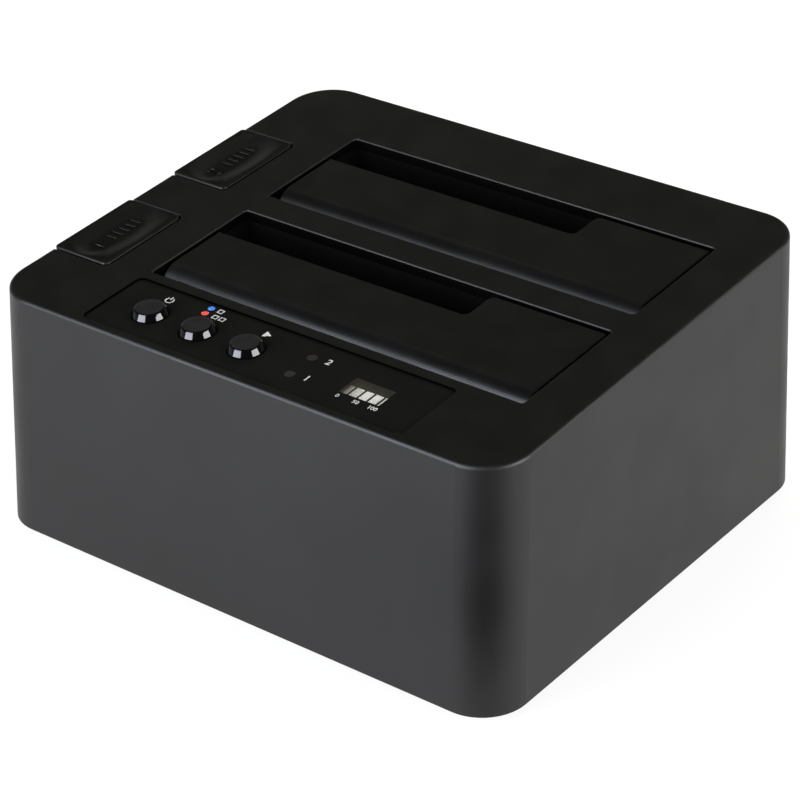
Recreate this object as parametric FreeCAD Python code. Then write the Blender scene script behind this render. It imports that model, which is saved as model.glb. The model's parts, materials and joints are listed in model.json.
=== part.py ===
import FreeCAD, Part
import math
import os

from FreeCAD import Vector

# A desktop dock that holds two bare drives upright, side by side, each behind a sprung flap.
# Sizes are in millimetres and angles in degrees. X runs along the front, Y to the back, Z up.
# The origin is on the table, under the middle of the footprint.

# Case
BASE_W = 145.4            # footprint along X, at the lower edge of the walls
BASE_D = 125.5            # footprint along Y
HEIGHT = 63.9             # deck above the table, over the middle of the footprint
DECK_TILT = 3.12          # the deck rises to the back
FRONT_DRAFT = 4.41        # lean of the front wall
SIDE_DRAFT = 1.09
BACK_DRAFT = 0.62
CORNER_R = 11.2           # upright corners
TOP_EDGE_R = 0.9          # rim between deck and walls
WALL = 2.2
DECK_T = 2.6
FOOT_STAND = 1.5          # table to the lower edge of the walls

# Drive bays
BAY_X0 = -44.4            # left end of both openings
BAY_LEN = 103.7           # a 101.6 mm drive with room on both ends
BAY_DEPTH = 33.4          # drive, folded flap and clearances
BAY_CORNER_R = 0.9
BAY_EDGE_R = 0.45         # rounded lip of each opening
BAY_SETBACK = 46.5        # middle of the front opening, from the footprint's front
BAY_PITCH = 41.55
WELL_T = 1.6              # walls of the wells below the openings
FLOOR_Z = 17.0            # floor that the drives stand on
FLOOR_T = 1.8
DRIVE_END_GAP = 0.95      # drive to the left end of the well
DRIVE_FACE_GAP = 0.3      # drive to the back of the well

# Flaps and their hinges
FLAP_DROP = 0.45          # flap face below the deck
FLAP_T = 1.8
FLAP_SIDE_GAP = 0.8
FLAP_BACK_GAP = 1.0
FLAP_EDGE_R = 0.4
WATERFALL_R = 6.4         # rounded front edge
WATERFALL_START = 7.3     # behind the opening's front edge
WATERFALL_SWEEP = 62.0
PIVOT_BACK = 2.5          # hinge axis behind the opening's front edge
PIVOT_DROP = 4.5          # and below the deck
BARREL_R = 2.1
PIN_R = 1.0
RUN_GAP = 0.05            # radial play of a turning joint
SEAT_GAP = 0.02           # radial play of a pin in its seat
NOTCH_LEN = 72.3          # slot for a narrow drive, from the opening's left end
NOTCH_DEPTH = 10.7        # from the opening's back edge
NOTCH_R = 1.6
RIB_T = 1.2               # stiffening ribs under a flap
RIB_H = 2.0
RIB_COUNT = 4

# Hinge springs
HINGE_COIL_R = 1.6        # mean radius
HINGE_WIRE_R = 0.25
HINGE_PITCH = 0.8
HINGE_HALF_TURNS = 6
HINGE_SPRING_X = 5.0      # from the flap's left end to the coil
HINGE_LEG = 11.0          # arm under the flap
HINGE_FOOT = 2.3          # arm against the front wall of the well
COIL_ROOM = 0.3           # gap round a coil
SPRING_SEAT_T = 3.0       # rib that the arm bears on

# Eject buttons
EJECT_INSET = 17.8        # inner end of the button pockets, from the footprint's left
EJECT_LEN = 27.2          # pocket along Y
EJECT_OFFSET = -7.0       # pocket's middle from the bay's middle
EJECT_GAP = 0.45
EJECT_CORNER_R = 1.9
EJECT_TRAVEL = 4.0
EJECT_PROUD = 0.25        # beyond the left wall
EJECT_RISE = 0.3          # above the deck
EJECT_EDGE_R = 0.6
POCKET_EDGE_R = 0.35      # rounded lip of the pockets
EJECT_TOP_T = 2.6
EJECT_SKIN = 1.6
SKIRT_H = 8.0             # outer face of the button
APRON_H = 5.6             # apron behind the wall, which closes the slit
DISH_DEPTH = 0.8
DISH_LEN = 22.6
DISH_W = 12.0
GUIDE_T = 1.4             # walls of the pocket
SPARE = 0.5               # room left at the end of a stroke

# Eject springs
EJECT_COIL_R = 2.6
EJECT_WIRE_R = 0.35
EJECT_HALF_TURNS = 9
EJECT_SPRING_INSET = 9.2  # axis from the footprint's left
EJECT_SPRING_DY = -6.0    # from the button's middle
SPRING_POST_R = 1.7
SPRING_POST_H = 5.0
SPRING_SEAT = 0.1

# Ejector levers
LEVER_SIDE = 4.0          # pivot outside the well
LEVER_DROP = 1.5          # pivot below the floor of the well
LEVER_TIP = 2.5           # arm beyond the leg
LEVER_LIFT = 12.5         # pivot to the end under the drive
LEVER_T = 3.0
LEVER_SUNK = 0.2          # lifting arm below the floor
HUB_R = 3.0
PRESS_ARM_Y = (-3.25, 4.75)    # from the bay's middle
LIFT_ARM_Y = (6.75, 12.75)
LEG_W = 4.0               # button's leg along X
LEG_WALL = 4.21           # leg from the footprint's left, with a share of the margin beside the bay
LEG_SHARE = 0.3
LEG_GAP = 0.3             # leg to lever at rest
ARM_ROOM = 0.6            # slots round the arms and legs
EAR_T = 2.0
EAR_GAP = 0.5
EAR_R = 3.5

# Control panel
PANEL_W = 90.0
PANEL_D = 20.1
PANEL_SETBACK = 16.7      # middle, from the footprint's front
PANEL_R = 1.7
PANEL_T = 0.8
PANEL_SUNK = 0.5          # below the deck
PANEL_GAP = 0.15
PANEL_LEDGE = 0.9

# Push keys and their switches
KEY_X0 = -32.7
KEY_PITCH = 14.0
KEY_DY = -0.6             # from the panel's middle
KEY_R = 4.25
KEY_TOP_R = 3.8
KEY_H = 1.8
KEY_RIM = 0.45            # upright part above the panel
KEY_SOFT = 0.8            # rounding at the flat top
KEY_GAP = 0.2
KEY_FLANGE_R = 4.95
KEY_FLANGE_T = 0.8
KEY_REST_GAP = 0.15
KEY_STEM_R = 2.2
KEY_TRAVEL = 0.5
PLUNGER_R = 1.7
PLUNGER_OUT = 1.2
PLUNGER_IN = 0.9
TOUCH = 0.05              # pieces that meet but aren't joined
SWITCH_W = 6.0
SWITCH_H = 3.4

# Lights and display
LIGHT_X = 9.9
LIGHT_DY = (-3.41, 4.25)
LIGHT_R = 1.2
LIGHT_FLANGE_R = 1.8
LIGHT_FLANGE_T = 0.7
LED_W = 2.0
LED_H = 1.2
LED_GAP = 0.3
WINDOW_X = 28.5
WINDOW_DY = -0.1
WINDOW_W = 10.6
WINDOW_D = 6.1
BAR_COUNT = 5
BAR_PITCH = 2.57
BAR_W = 2.0
BAR_D = 4.6
BAR_T = 1.0
BAR_DY = -1.15            # bars in front of the window's middle

# Boards
KEY_BOARD_DEPTH = 8.1     # top of the key board below the deck
KEY_BOARD_T = 1.2
KEY_BOARD_D = 16.4
KEY_BOSS_OUT = 3.5        # pillars beside the panel
KEY_BOARD_LUG = 2.3       # board beyond the pillars' axes
KEY_BOSS_R = 2.6
MAIN_BOARD_Z = 8.0
MAIN_BOARD_T = 1.6
MAIN_BOARD_X0 = -44.0
MAIN_BOARD_INSET = (16.7, 19.75, 2.75)    # from the footprint's right, front and back
MAIN_BOARD_R = 2.0
POST_INSET_X = 4.0
POST_INSET_Y = (4.0, 11.5)    # from the board's front and back
POST_R = 3.0
SCREW_R = 0.95            # small board screws
SCREW_HOLE_R = 1.3
SCREW_PILOT_R = 1.0
SCREW_HEAD_R = 2.3
SCREW_HEAD_H = 1.5
SCREW_LEN = 4.0

# Ribbon between the boards
RIBBON_X = 22.0
RIBBON_W = 12.0
RIBBON_T = 0.3
RIBBON_TOP_DY = 3.55      # from the panel's middle
RIBBON_LOW_DY = 4.6       # from the main board's front
RIBBON_BEND_R = 5.0
RIBBON_STEP_Z = (36.0, 26.0)
SOCKET_W = 15.0
SOCKET_D = 3.6
SOCKET_H = 2.4

# Drive connectors
PLUG_CENTRE = 30.12       # from the drive's end, the same on both drive sizes
PLUG_FACE = 3.5           # from the drive's base
CONNECTOR_W = 42.6
CONNECTOR_D = 6.0
CONNECTOR_RISE = 3.4      # above the floor of the well
CONNECTOR_ROOM = 0.4
SIGNAL_LEN = 10.4
POWER_LEN = 20.6
TONGUE_GAP = 2.0          # web between the two slots
TONGUE_W = 2.0
TONGUE_KEY = 1.2
TONGUE_DEPTH = 5.5

# Rear ports
PORT_SUNK = 0.3           # port face inside the rear wall
PORT_GAP = 0.4
JACK_X = -26.0
JACK_W = 9.2
JACK_H = 11.0
JACK_LEN = 14.2
JACK_BORE_R = 3.2
JACK_BORE_DEPTH = 9.5
JACK_PIN_R = 1.05
JACK_PIN_SHORT = 1.0
USB_X = 6.0
USB_W = 12.2
USB_H = 12.8
USB_LEN = 16.6
USB_MOUTH_W = 8.5
USB_MOUTH_H = 7.9
USB_CHAMFER = 1.6
USB_HUMP_W = 5.8
USB_HUMP_H = 2.7
USB_LIP = 0.9             # shell below the mouth
USB_CAVITY = 9.2
USB_CORE_W = 5.7
USB_CORE_H = 3.2
USB_HUMP_CORE_H = 1.0
ESATA_X = 33.0
ESATA_W = 15.6
ESATA_H = 6.8
ESATA_LEN = 13.0
ESATA_MOUTH_W = 11.6
ESATA_MOUTH_H = 4.8
ESATA_CAVITY = 8.0
ESATA_CORE_W = 8.6
ESATA_CORE_T = 1.3
CORE_SHORT = 0.8          # tongues behind the port's face

# Base
COVER_T = 2.4
COVER_GAP = 0.2
BOSS_INSET = (10.7, 10.75)    # from the footprint's sides and ends
BOSS_R = 3.6
BOSS_PILOT_R = 1.2
BOSS_PILOT_DEPTH = 12.0
COVER_SCREW_R = 1.15
COVER_SCREW_LEN = 10.0
COVER_HEAD_R = 2.9
COVER_HEAD_H = 1.6
COVER_HEAD_SUNK = 0.3
COVER_HOLE_GAP = 0.15
FOOT_INSET = (18.7, 18.75)
FOOT_R = 6.0
FOOT_SINK = 0.6
FOOT_EDGE = 0.4
FOOT_GAP = 0.15
VENT_COUNT = 11
VENT_PITCH = 5.0
VENT_W = 2.0
VENT_LEN = 30.0

# Values that follow from those above
COVER_TOP = FOOT_STAND + COVER_T
FRONT_Y = -BASE_D / 2
LEFT_X = -BASE_W / 2
BAY_X1 = BAY_X0 + BAY_LEN
FRONT_BAY_Y = FRONT_Y + BAY_SETBACK
PANEL_Y = FRONT_Y + PANEL_SETBACK
KEY_Y = PANEL_Y + KEY_DY
LIGHT_Y = [PANEL_Y + step for step in LIGHT_DY]
WINDOW_Y = PANEL_Y + WINDOW_DY
KEY_BOSS_X = PANEL_W / 2 + KEY_BOSS_OUT
KEY_BOARD_W = 2 * (KEY_BOSS_X + KEY_BOARD_LUG)
EJECT_X1 = LEFT_X + EJECT_INSET
EJECT_SPRING_X = LEFT_X + EJECT_SPRING_INSET
LEVER_X = BAY_X0 - WELL_T - LEVER_SIDE
LEG_X = LEFT_X + LEG_WALL + LEG_SHARE * (BAY_X0 - LEFT_X)
LEVER_REACH = LEVER_X - LEG_X
MAIN_BOARD_X = (MAIN_BOARD_X0, BASE_W / 2 - MAIN_BOARD_INSET[0])
MAIN_BOARD_Y = (FRONT_Y + MAIN_BOARD_INSET[1], BASE_D / 2 - MAIN_BOARD_INSET[2])
POST_Y = (MAIN_BOARD_Y[0] + POST_INSET_Y[0], MAIN_BOARD_Y[1] - POST_INSET_Y[1])
RIBBON_TOP_Y = PANEL_Y + RIBBON_TOP_DY
RIBBON_LOW_Y = MAIN_BOARD_Y[0] + RIBBON_LOW_DY
BOSS_X = BASE_W / 2 - BOSS_INSET[0]
BOSS_Y = BASE_D / 2 - BOSS_INSET[1]
FOOT_X = BASE_W / 2 - FOOT_INSET[0]
FOOT_Y = BASE_D / 2 - FOOT_INSET[1]
BAYS = {"front": FRONT_BAY_Y, "rear": FRONT_BAY_Y + BAY_PITCH}
KEYS = ("power", "mode", "start")
LEVER_Z = FLOOR_Z - LEVER_DROP
MAIN_BOARD_TOP = MAIN_BOARD_Z + MAIN_BOARD_T
PANEL_TOP = -PANEL_SUNK
PANEL_LOW = PANEL_TOP - PANEL_T
SWITCH_TOP = SWITCH_H - KEY_BOARD_DEPTH
REACH = 2 * max(BASE_W, BASE_D)
X_AXIS = Vector(1, 0, 0)
Y_AXIS = Vector(0, 1, 0)
Z_AXIS = Vector(0, 0, 1)
ORIGIN = Vector(0, 0, 0)


def slope(angle):
    return math.tan(math.radians(angle))


def box(x0, x1, y0, y1, z0, z1):
    return Part.makeBox(x1 - x0, y1 - y0, z1 - z0, Vector(x0, y0, z0))


def rounded_outline(x0, x1, y0, y1, radius, z):
    """A closed wire: a rectangle with rounded corners, level at height z."""
    half = radius * (1 - math.sqrt(0.5))
    edges = []
    corners = ((x1, y0, -1, 1), (x1, y1, -1, -1), (x0, y1, 1, -1), (x0, y0, 1, 1))
    turns = []
    for x, y, inward_x, inward_y in corners:
        along_y = Vector(x, y + inward_y * radius, z)
        along_x = Vector(x + inward_x * radius, y, z)
        middle = Vector(x + inward_x * half, y + inward_y * half, z)
        turns.append((along_x, middle, along_y) if inward_x * inward_y < 0 else (along_y, middle, along_x))
    for index, (start, middle, end) in enumerate(turns):
        edges.append(Part.Arc(start, middle, end).toShape())
        following = turns[(index + 1) % len(turns)][0]
        edges.append(Part.makeLine(end, following))
    return Part.Wire(edges)


def prism(x0, x1, y0, y1, radius, z0, z1):
    outline = Part.Face(rounded_outline(x0, x1, y0, y1, radius, z0))
    return outline.extrude(Vector(0, 0, z1 - z0))


def rod(radius, start, end):
    axis = end - start
    return Part.makeCylinder(radius, axis.Length, start, axis)


def turned(points, centre_x, centre_y):
    """A solid of revolution about an upright axis, from (radius, height) points."""
    wire = Part.makePolygon([Vector(radius, 0, height) for radius, height in points + points[:1]])
    solid = Part.Face(wire).revolve(ORIGIN, Z_AXIS, 360)
    return solid.translated(Vector(centre_x, centre_y, 0))


def to_deck(shape):
    """Puts a shape drawn on a level deck at height 0 onto the tilted deck."""
    return shape.rotated(ORIGIN, X_AXIS, DECK_TILT).translated(Vector(0, 0, HEIGHT))


def deck_point(x, along, rise):
    """The place in the part's frame of a point drawn on the level deck."""
    angle = math.radians(DECK_TILT)
    y = along * math.cos(angle) - rise * math.sin(angle)
    z = along * math.sin(angle) + rise * math.cos(angle)
    return Vector(x, y, HEIGHT + z)


def deck_height(y):
    return HEIGHT + y * slope(DECK_TILT)


def below_deck(rise):
    """Everything under the deck plane, or under a plane that lies rise above it."""
    return to_deck(box(-REACH, REACH, -REACH, REACH, -REACH, rise))


def edges_on_deck(shape, rise, inside):
    """The edges that lie in a plane parallel to the deck and whose middles pass a test."""
    found = []
    for edge in shape.Edges:
        heights = []
        for share in (0.0, 0.5, 1.0):
            span = edge.LastParameter - edge.FirstParameter
            point = edge.valueAt(edge.FirstParameter + share * span)
            heights.append((point.z - deck_height(point.y)) * math.cos(math.radians(DECK_TILT)))
        middle = edge.valueAt((edge.FirstParameter + edge.LastParameter) / 2)
        if max(abs(height - rise) for height in heights) < 1e-4 and inside(middle):
            found.append(edge)
    return found


# Case shell

def case_outline(z, inset):
    rise = z - FOOT_STAND
    side = BASE_W / 2 - rise * slope(SIDE_DRAFT) - inset
    front = -BASE_D / 2 + rise * slope(FRONT_DRAFT) + inset
    back = BASE_D / 2 - rise * slope(BACK_DRAFT) - inset
    return rounded_outline(-side, side, front, back, CORNER_R - inset, z)


def case_solid(z0, z1, inset):
    """The drafted form of the case between two heights, set in from the outer faces."""
    return Part.makeLoft([case_outline(z0, inset), case_outline(z1, inset)], True, True)


def case_top():
    """A height just above the highest edge of the deck."""
    return deck_height(BASE_D / 2) + EJECT_RISE


def left_wall(z):
    """X of the outer face of the left wall at height z."""
    return -(BASE_W / 2 - (z - FOOT_STAND) * slope(SIDE_DRAFT))


def rear_wall(z):
    return BASE_D / 2 - (z - FOOT_STAND) * slope(BACK_DRAFT)


def bay_front(middle):
    return middle - BAY_DEPTH / 2


def bay_back(middle):
    return middle + BAY_DEPTH / 2


def pocket_span(middle):
    """Front and back of the eject button's pocket beside a bay."""
    centre = middle + EJECT_OFFSET
    return centre - EJECT_LEN / 2, centre + EJECT_LEN / 2


def skirt_low(middle):
    """Height of the lower edge of the eject button's outer face."""
    return deck_height(pocket_span(middle)[0]) - SKIRT_H


def slit_low(middle):
    """Height of the lower edge of the cut in the left wall."""
    return skirt_low(middle) - EJECT_TRAVEL - SPARE


def pocket_floor(middle):
    return skirt_low(middle) - APRON_H - EJECT_TRAVEL - SPARE


def pocket_block(middle):
    """The moulded box under the deck that guides an eject button."""
    front, back = pocket_span(middle)
    low = pocket_floor(middle) - GUIDE_T
    block = box(-REACH, EJECT_X1 + GUIDE_T, front - GUIDE_T, back + GUIDE_T, low, REACH)
    walls = case_solid(FOOT_STAND, case_top(), WALL / 2)
    return block.common(walls).common(below_deck(-DECK_T / 2))


def pocket_hollow(middle):
    """The space of an eject button: inside the wall below, and through it above."""
    front, back = pocket_span(middle)
    shaft = prism(-REACH, EJECT_X1, front, back, EJECT_CORNER_R, pocket_floor(middle), REACH)
    inner = case_solid(FOOT_STAND, case_top(), WALL)
    above = box(-REACH, REACH, -REACH, REACH, slit_low(middle), REACH)
    return shaft.common(inner).fuse(shaft.common(above))


def leg_span(middle):
    """Front and back of the button's leg, over the lever's press arm."""
    return middle + PRESS_ARM_Y[0] + SPARE, middle + PRESS_ARM_Y[1] - SPARE


def leg_slot(middle):
    front, back = leg_span(middle)
    low = pocket_floor(middle)
    half = LEG_W / 2 + ARM_ROOM
    span_y = (front - ARM_ROOM, back + ARM_ROOM)
    return box(LEG_X - half, LEG_X + half, *span_y, low - 2 * GUIDE_T, low + GUIDE_T)


def spring_centre(middle, z):
    return Vector(EJECT_SPRING_X, middle + EJECT_OFFSET + EJECT_SPRING_DY, z)


def spring_post(middle):
    foot = spring_centre(middle, pocket_floor(middle))
    return rod(SPRING_POST_R, foot - Z_AXIS * GUIDE_T / 2, foot + Z_AXIS * SPRING_POST_H)


def corner_places(x, y):
    return [(sx * x, sy * y) for sx in (-1, 1) for sy in (-1, 1)]


def key_boss_places():
    return [(-KEY_BOSS_X, PANEL_Y), (KEY_BOSS_X, PANEL_Y)]


def panel_prism(grow, low, high):
    half_w = PANEL_W / 2 + grow
    half_d = PANEL_D / 2 + grow
    return prism(-half_w, half_w, PANEL_Y - half_d, PANEL_Y + half_d, PANEL_R + min(grow, 0) / 2, low, high)


def port_openings():
    """Cut-outs in the rear wall, a little larger than the ports behind them."""
    cuts = []
    for x, width, height in ((JACK_X, JACK_W, JACK_H), (USB_X, USB_W, USB_H), (ESATA_X, ESATA_W, ESATA_H)):
        half = width / 2 + PORT_GAP
        low = MAIN_BOARD_TOP - PORT_GAP
        cuts.append(box(x - half, x + half, 0, BASE_D, low, MAIN_BOARD_TOP + height + PORT_GAP))
    behind = box(-REACH, REACH, rear_wall(0) - 2 * WALL, REACH, 0, REACH)
    return [cut.common(behind) for cut in cuts]


def outer_case():
    solid = case_solid(FOOT_STAND, case_top(), 0).common(below_deck(0))
    rim = edges_on_deck(solid, 0, lambda point: True)
    return solid.makeFillet(TOP_EDGE_R, rim)


def opening_lips(shell):
    """The deck edges of the bay openings."""
    def at_bay(point):
        across = BAY_X0 - TOUCH < point.x < BAY_X1 + TOUCH
        return across and any(abs(point.y - middle) < BAY_DEPTH / 2 + TOUCH for middle in BAYS.values())
    return edges_on_deck(shell, 0, at_bay)


def pocket_lips(shell):
    """The deck edges of the eject buttons' pockets."""
    def at_pocket(point):
        for middle in BAYS.values():
            front, back = pocket_span(middle)
            if point.x < EJECT_X1 + TOUCH and front - TOUCH < point.y < back + TOUCH:
                return True
        return False
    return edges_on_deck(shell, 0, at_pocket)


def case_bosses():
    """Screw towers for the base and short pillars for the key board."""
    towers = []
    for x, y in corner_places(BOSS_X, BOSS_Y):
        tower = rod(BOSS_R, Vector(x, y, COVER_TOP), Vector(x, y, REACH)).common(below_deck(-DECK_T / 2))
        pilot_top = COVER_TOP + BOSS_PILOT_DEPTH
        towers.append(tower.cut(rod(BOSS_PILOT_R, Vector(x, y, 0), Vector(x, y, pilot_top))))
    for x, y in key_boss_places():
        pillar = rod(KEY_BOSS_R, Vector(x, y, -KEY_BOARD_DEPTH), Vector(x, y, -DECK_T / 2))
        pilot_top = SCREW_LEN - KEY_BOARD_DEPTH + SPARE
        pilot = rod(SCREW_PILOT_R, Vector(x, y, -KEY_BOARD_DEPTH), Vector(x, y, pilot_top))
        towers.append(to_deck(pillar.cut(pilot)))
    return towers


def housing():
    """The top shell: drafted walls, tilted deck, openings, pockets, recess and bosses."""
    hollow = case_solid(FOOT_STAND, case_top(), WALL).common(below_deck(-DECK_T))
    shell = outer_case().cut(hollow)
    shell = shell.multiFuse(case_bosses() + [pocket_block(middle) for middle in BAYS.values()])
    cuts = port_openings()
    for middle in BAYS.values():
        front, back = bay_front(middle), bay_back(middle)
        cuts.append(prism(BAY_X0, BAY_X1, front, back, BAY_CORNER_R, HEIGHT / 2, REACH))
        cuts.append(pocket_hollow(middle))
        cuts.append(leg_slot(middle))
    cuts.append(to_deck(panel_prism(0, PANEL_LOW, DECK_T)))
    cuts.append(to_deck(panel_prism(-PANEL_LEDGE, -2 * DECK_T, DECK_T)))
    for cut in cuts:
        shell = shell.cut(cut)
    shell = shell.makeFillet(BAY_EDGE_R, opening_lips(shell))
    shell = shell.makeFillet(POCKET_EDGE_R, pocket_lips(shell))
    return shell.multiFuse([spring_post(middle) for middle in BAYS.values()])


# Base

def post_places():
    xs = (MAIN_BOARD_X[0] + POST_INSET_X, MAIN_BOARD_X[1] - POST_INSET_X)
    return [(x, y) for x in xs for y in POST_Y]


def bottom_cover():
    """The base plate with board posts, countersunk screw holes, foot seats and vents."""
    plate = case_solid(FOOT_STAND, COVER_TOP, WALL + COVER_GAP)
    posts = []
    for x, y in post_places():
        posts.append(rod(POST_R, Vector(x, y, FOOT_STAND + COVER_T / 2), Vector(x, y, MAIN_BOARD_Z)))
    plate = plate.multiFuse(posts)
    cuts = []
    for x, y in post_places():
        low = MAIN_BOARD_Z - SCREW_LEN
        cuts.append(rod(SCREW_PILOT_R, Vector(x, y, low), Vector(x, y, MAIN_BOARD_Z)))
    for x, y in corner_places(BOSS_X, BOSS_Y):
        cuts.append(countersink(x, y, COVER_HOLE_GAP, COVER_TOP))
    for x, y in corner_places(FOOT_X, FOOT_Y):
        seat = Vector(x, y, FOOT_STAND + FOOT_SINK)
        cuts.append(rod(FOOT_R + FOOT_GAP, Vector(x, y, 0), seat))
    half = VENT_LEN / 2
    for index in range(VENT_COUNT):
        x = (index - (VENT_COUNT - 1) / 2) * VENT_PITCH
        cuts.append(prism(x - VENT_W / 2, x + VENT_W / 2, -half, half, VENT_W / 2 - TOUCH, 0, COVER_TOP))
    for cut in cuts:
        plate = plate.cut(cut)
    return plate


def countersink(x, y, grow, top):
    """A flat-headed screw standing in the base, or its hole when grown."""
    low = FOOT_STAND + COVER_HEAD_SUNK
    head = low + COVER_HEAD_H
    wide = COVER_HEAD_R + grow
    slim = COVER_SCREW_R + grow
    points = [(0, low), (wide, low), (slim, head), (slim, top), (0, top)]
    solid = turned(points, x, y)
    if grow == 0:
        return solid
    mouth = rod(wide, Vector(x, y, 0), Vector(x, y, low))
    return solid.fuse(mouth)


def cover_screws():
    top = COVER_TOP + COVER_SCREW_LEN
    return [countersink(x, y, 0, top) for x, y in corner_places(BOSS_X, BOSS_Y)]


def rubber_feet():
    feet = []
    top = FOOT_STAND + FOOT_SINK
    for x, y in corner_places(FOOT_X, FOOT_Y):
        points = [(0, 0), (FOOT_R - FOOT_EDGE, 0), (FOOT_R, FOOT_EDGE), (FOOT_R, top), (0, top)]
        feet.append(turned(points, x, y))
    return feet


# Drive wells

def pivot_of_flap(middle, x):
    return deck_point(x, bay_front(middle) + PIVOT_BACK, -PIVOT_DROP)


def connector_place(middle):
    x = BAY_X0 + DRIVE_END_GAP + PLUG_CENTRE
    return x, bay_back(middle) - DRIVE_FACE_GAP - PLUG_FACE


def ear_spans(middle):
    """The two ears that carry a lever's pin, in front of it and behind it."""
    first = middle + PRESS_ARM_Y[0] - EAR_GAP
    last = middle + LIFT_ARM_Y[1] + EAR_GAP
    return (first - EAR_T, first), (last, last + EAR_T)


def lever_ear(front, back):
    """A rounded ear on the left wall of a well."""
    disc = rod(EAR_R, Vector(LEVER_X, front, LEVER_Z), Vector(LEVER_X, back, LEVER_Z))
    arm = box(LEVER_X, BAY_X0 - WELL_T / 2, front, back, LEVER_Z - EAR_R, LEVER_Z + EAR_R)
    return disc.fuse(arm)


def drive_well(middle):
    """An open-topped well with a slot for the connector, a gap for the lever and bearing ears."""
    front, back = bay_front(middle), bay_back(middle)
    outer = box(BAY_X0 - WELL_T, BAY_X1 + WELL_T, front - WELL_T, back + WELL_T, FLOOR_Z - FLOOR_T, REACH)
    inner = prism(BAY_X0, BAY_X1, front, back, BAY_CORNER_R, FLOOR_Z, REACH)
    well = outer.common(below_deck(-DECK_T)).cut(inner)
    well = well.multiFuse([lever_ear(*span) for span in ear_spans(middle)])
    x, y = connector_place(middle)
    half_w = CONNECTOR_W / 2 + CONNECTOR_ROOM
    half_d = CONNECTOR_D / 2 + CONNECTOR_ROOM
    arm = (middle + LIFT_ARM_Y[0] - ARM_ROOM, middle + LIFT_ARM_Y[1] + ARM_ROOM)
    arm_end = LEVER_X + LEVER_LIFT + ARM_ROOM
    arm_top = LEVER_Z + LEVER_T + LEVER_LIFT / 4
    ears = ear_spans(middle)
    cuts = [
        box(x - half_w, x + half_w, y - half_d, y + half_d, 0, FLOOR_Z + SPARE),
        box(BAY_X0 - 2 * WELL_T, BAY_X0 + TOUCH, arm[0], arm[1], 0, arm_top),
        box(BAY_X0 - 2 * WELL_T, arm_end, arm[0], arm[1], 0, FLOOR_Z + SPARE),
        rod(PIN_R + SEAT_GAP, Vector(LEVER_X, ears[0][0], LEVER_Z), Vector(LEVER_X, ears[1][1], LEVER_Z)),
        rod(PIN_R + SEAT_GAP, pivot_of_flap(middle, BAY_X0 - WELL_T), pivot_of_flap(middle, BAY_X1 + WELL_T)),
    ]
    for cut in cuts:
        well = well.cut(cut)
    return well


# Flaps

def flap_ends():
    return BAY_X0 + FLAP_SIDE_GAP, BAY_X1 - FLAP_SIDE_GAP


def flap_section(middle, x):
    """The flap's cross-section: a flat plate that curls down at the front."""
    centre_y = bay_front(middle) + WATERFALL_START
    centre_z = -FLAP_DROP - WATERFALL_R
    end = bay_back(middle) - FLAP_BACK_GAP

    def on_arc(radius, turn):
        angle = math.radians(turn)
        return Vector(x, centre_y - radius * math.sin(angle), centre_z + radius * math.cos(angle))

    inner_r = WATERFALL_R - FLAP_T
    half = WATERFALL_SWEEP / 2
    outer = [on_arc(WATERFALL_R, turn) for turn in (0, half, WATERFALL_SWEEP)]
    inner = [on_arc(inner_r, turn) for turn in (WATERFALL_SWEEP, half, 0)]
    low_end = Vector(x, end, -FLAP_DROP - FLAP_T)
    top_end = Vector(x, end, -FLAP_DROP)
    edges = [
        Part.Arc(*outer).toShape(),
        Part.makeLine(outer[2], inner[0]),
        Part.Arc(*inner).toShape(),
        Part.makeLine(inner[2], low_end),
        Part.makeLine(low_end, top_end),
        Part.makeLine(top_end, outer[0]),
    ]
    return Part.Face(Part.Wire(edges))


def notch_outline(middle):
    """Plan of the slot for a narrow drive, with one rounded inner and one rounded outer corner."""
    left = BAY_X0 - FLAP_SIDE_GAP
    right = BAY_X0 + NOTCH_LEN
    front = bay_back(middle) - NOTCH_DEPTH
    back = bay_back(middle) - FLAP_BACK_GAP
    bulge = NOTCH_R * (1 - math.sqrt(0.5))
    inner_arc = (
        Vector(right - NOTCH_R, front, 0),
        Vector(right - bulge, front + bulge, 0),
        Vector(right, front + NOTCH_R, 0),
    )
    outer_arc = (
        Vector(right, back - NOTCH_R, 0),
        Vector(right + bulge, back - bulge, 0),
        Vector(right + NOTCH_R, back, 0),
    )
    far_right = Vector(right + NOTCH_R, back + NOTCH_R, 0)
    far_left = Vector(left, back + NOTCH_R, 0)
    near_left = Vector(left, front, 0)
    edges = [
        Part.makeLine(near_left, inner_arc[0]),
        Part.Arc(*inner_arc).toShape(),
        Part.makeLine(inner_arc[2], outer_arc[0]),
        Part.Arc(*outer_arc).toShape(),
        Part.makeLine(outer_arc[2], far_right),
        Part.makeLine(far_right, far_left),
        Part.makeLine(far_left, near_left),
    ]
    return Part.Face(Part.Wire(edges))


def flap_plate(middle):
    """The curled plate with its slot and softened edges, drawn on the level deck."""
    left, right = flap_ends()
    plate = flap_section(middle, left).extrude(Vector(right - left, 0, 0))
    slot = notch_outline(middle).extrude(Vector(0, 0, 2 * (FLAP_DROP + FLAP_T)))
    plate = plate.cut(slot.translated(Vector(0, 0, -1.5 * (FLAP_DROP + FLAP_T))))
    start = bay_front(middle) + WATERFALL_START
    rim = []
    for edge in plate.Edges:
        bounds = edge.BoundBox
        level = abs(bounds.ZMin + FLAP_DROP) < TOUCH and abs(bounds.ZMax + FLAP_DROP) < TOUCH
        if level and bounds.YMax > start + TOUCH:
            rim.append(edge)
    return plate.makeFillet(FLAP_EDGE_R, rim)


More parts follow.
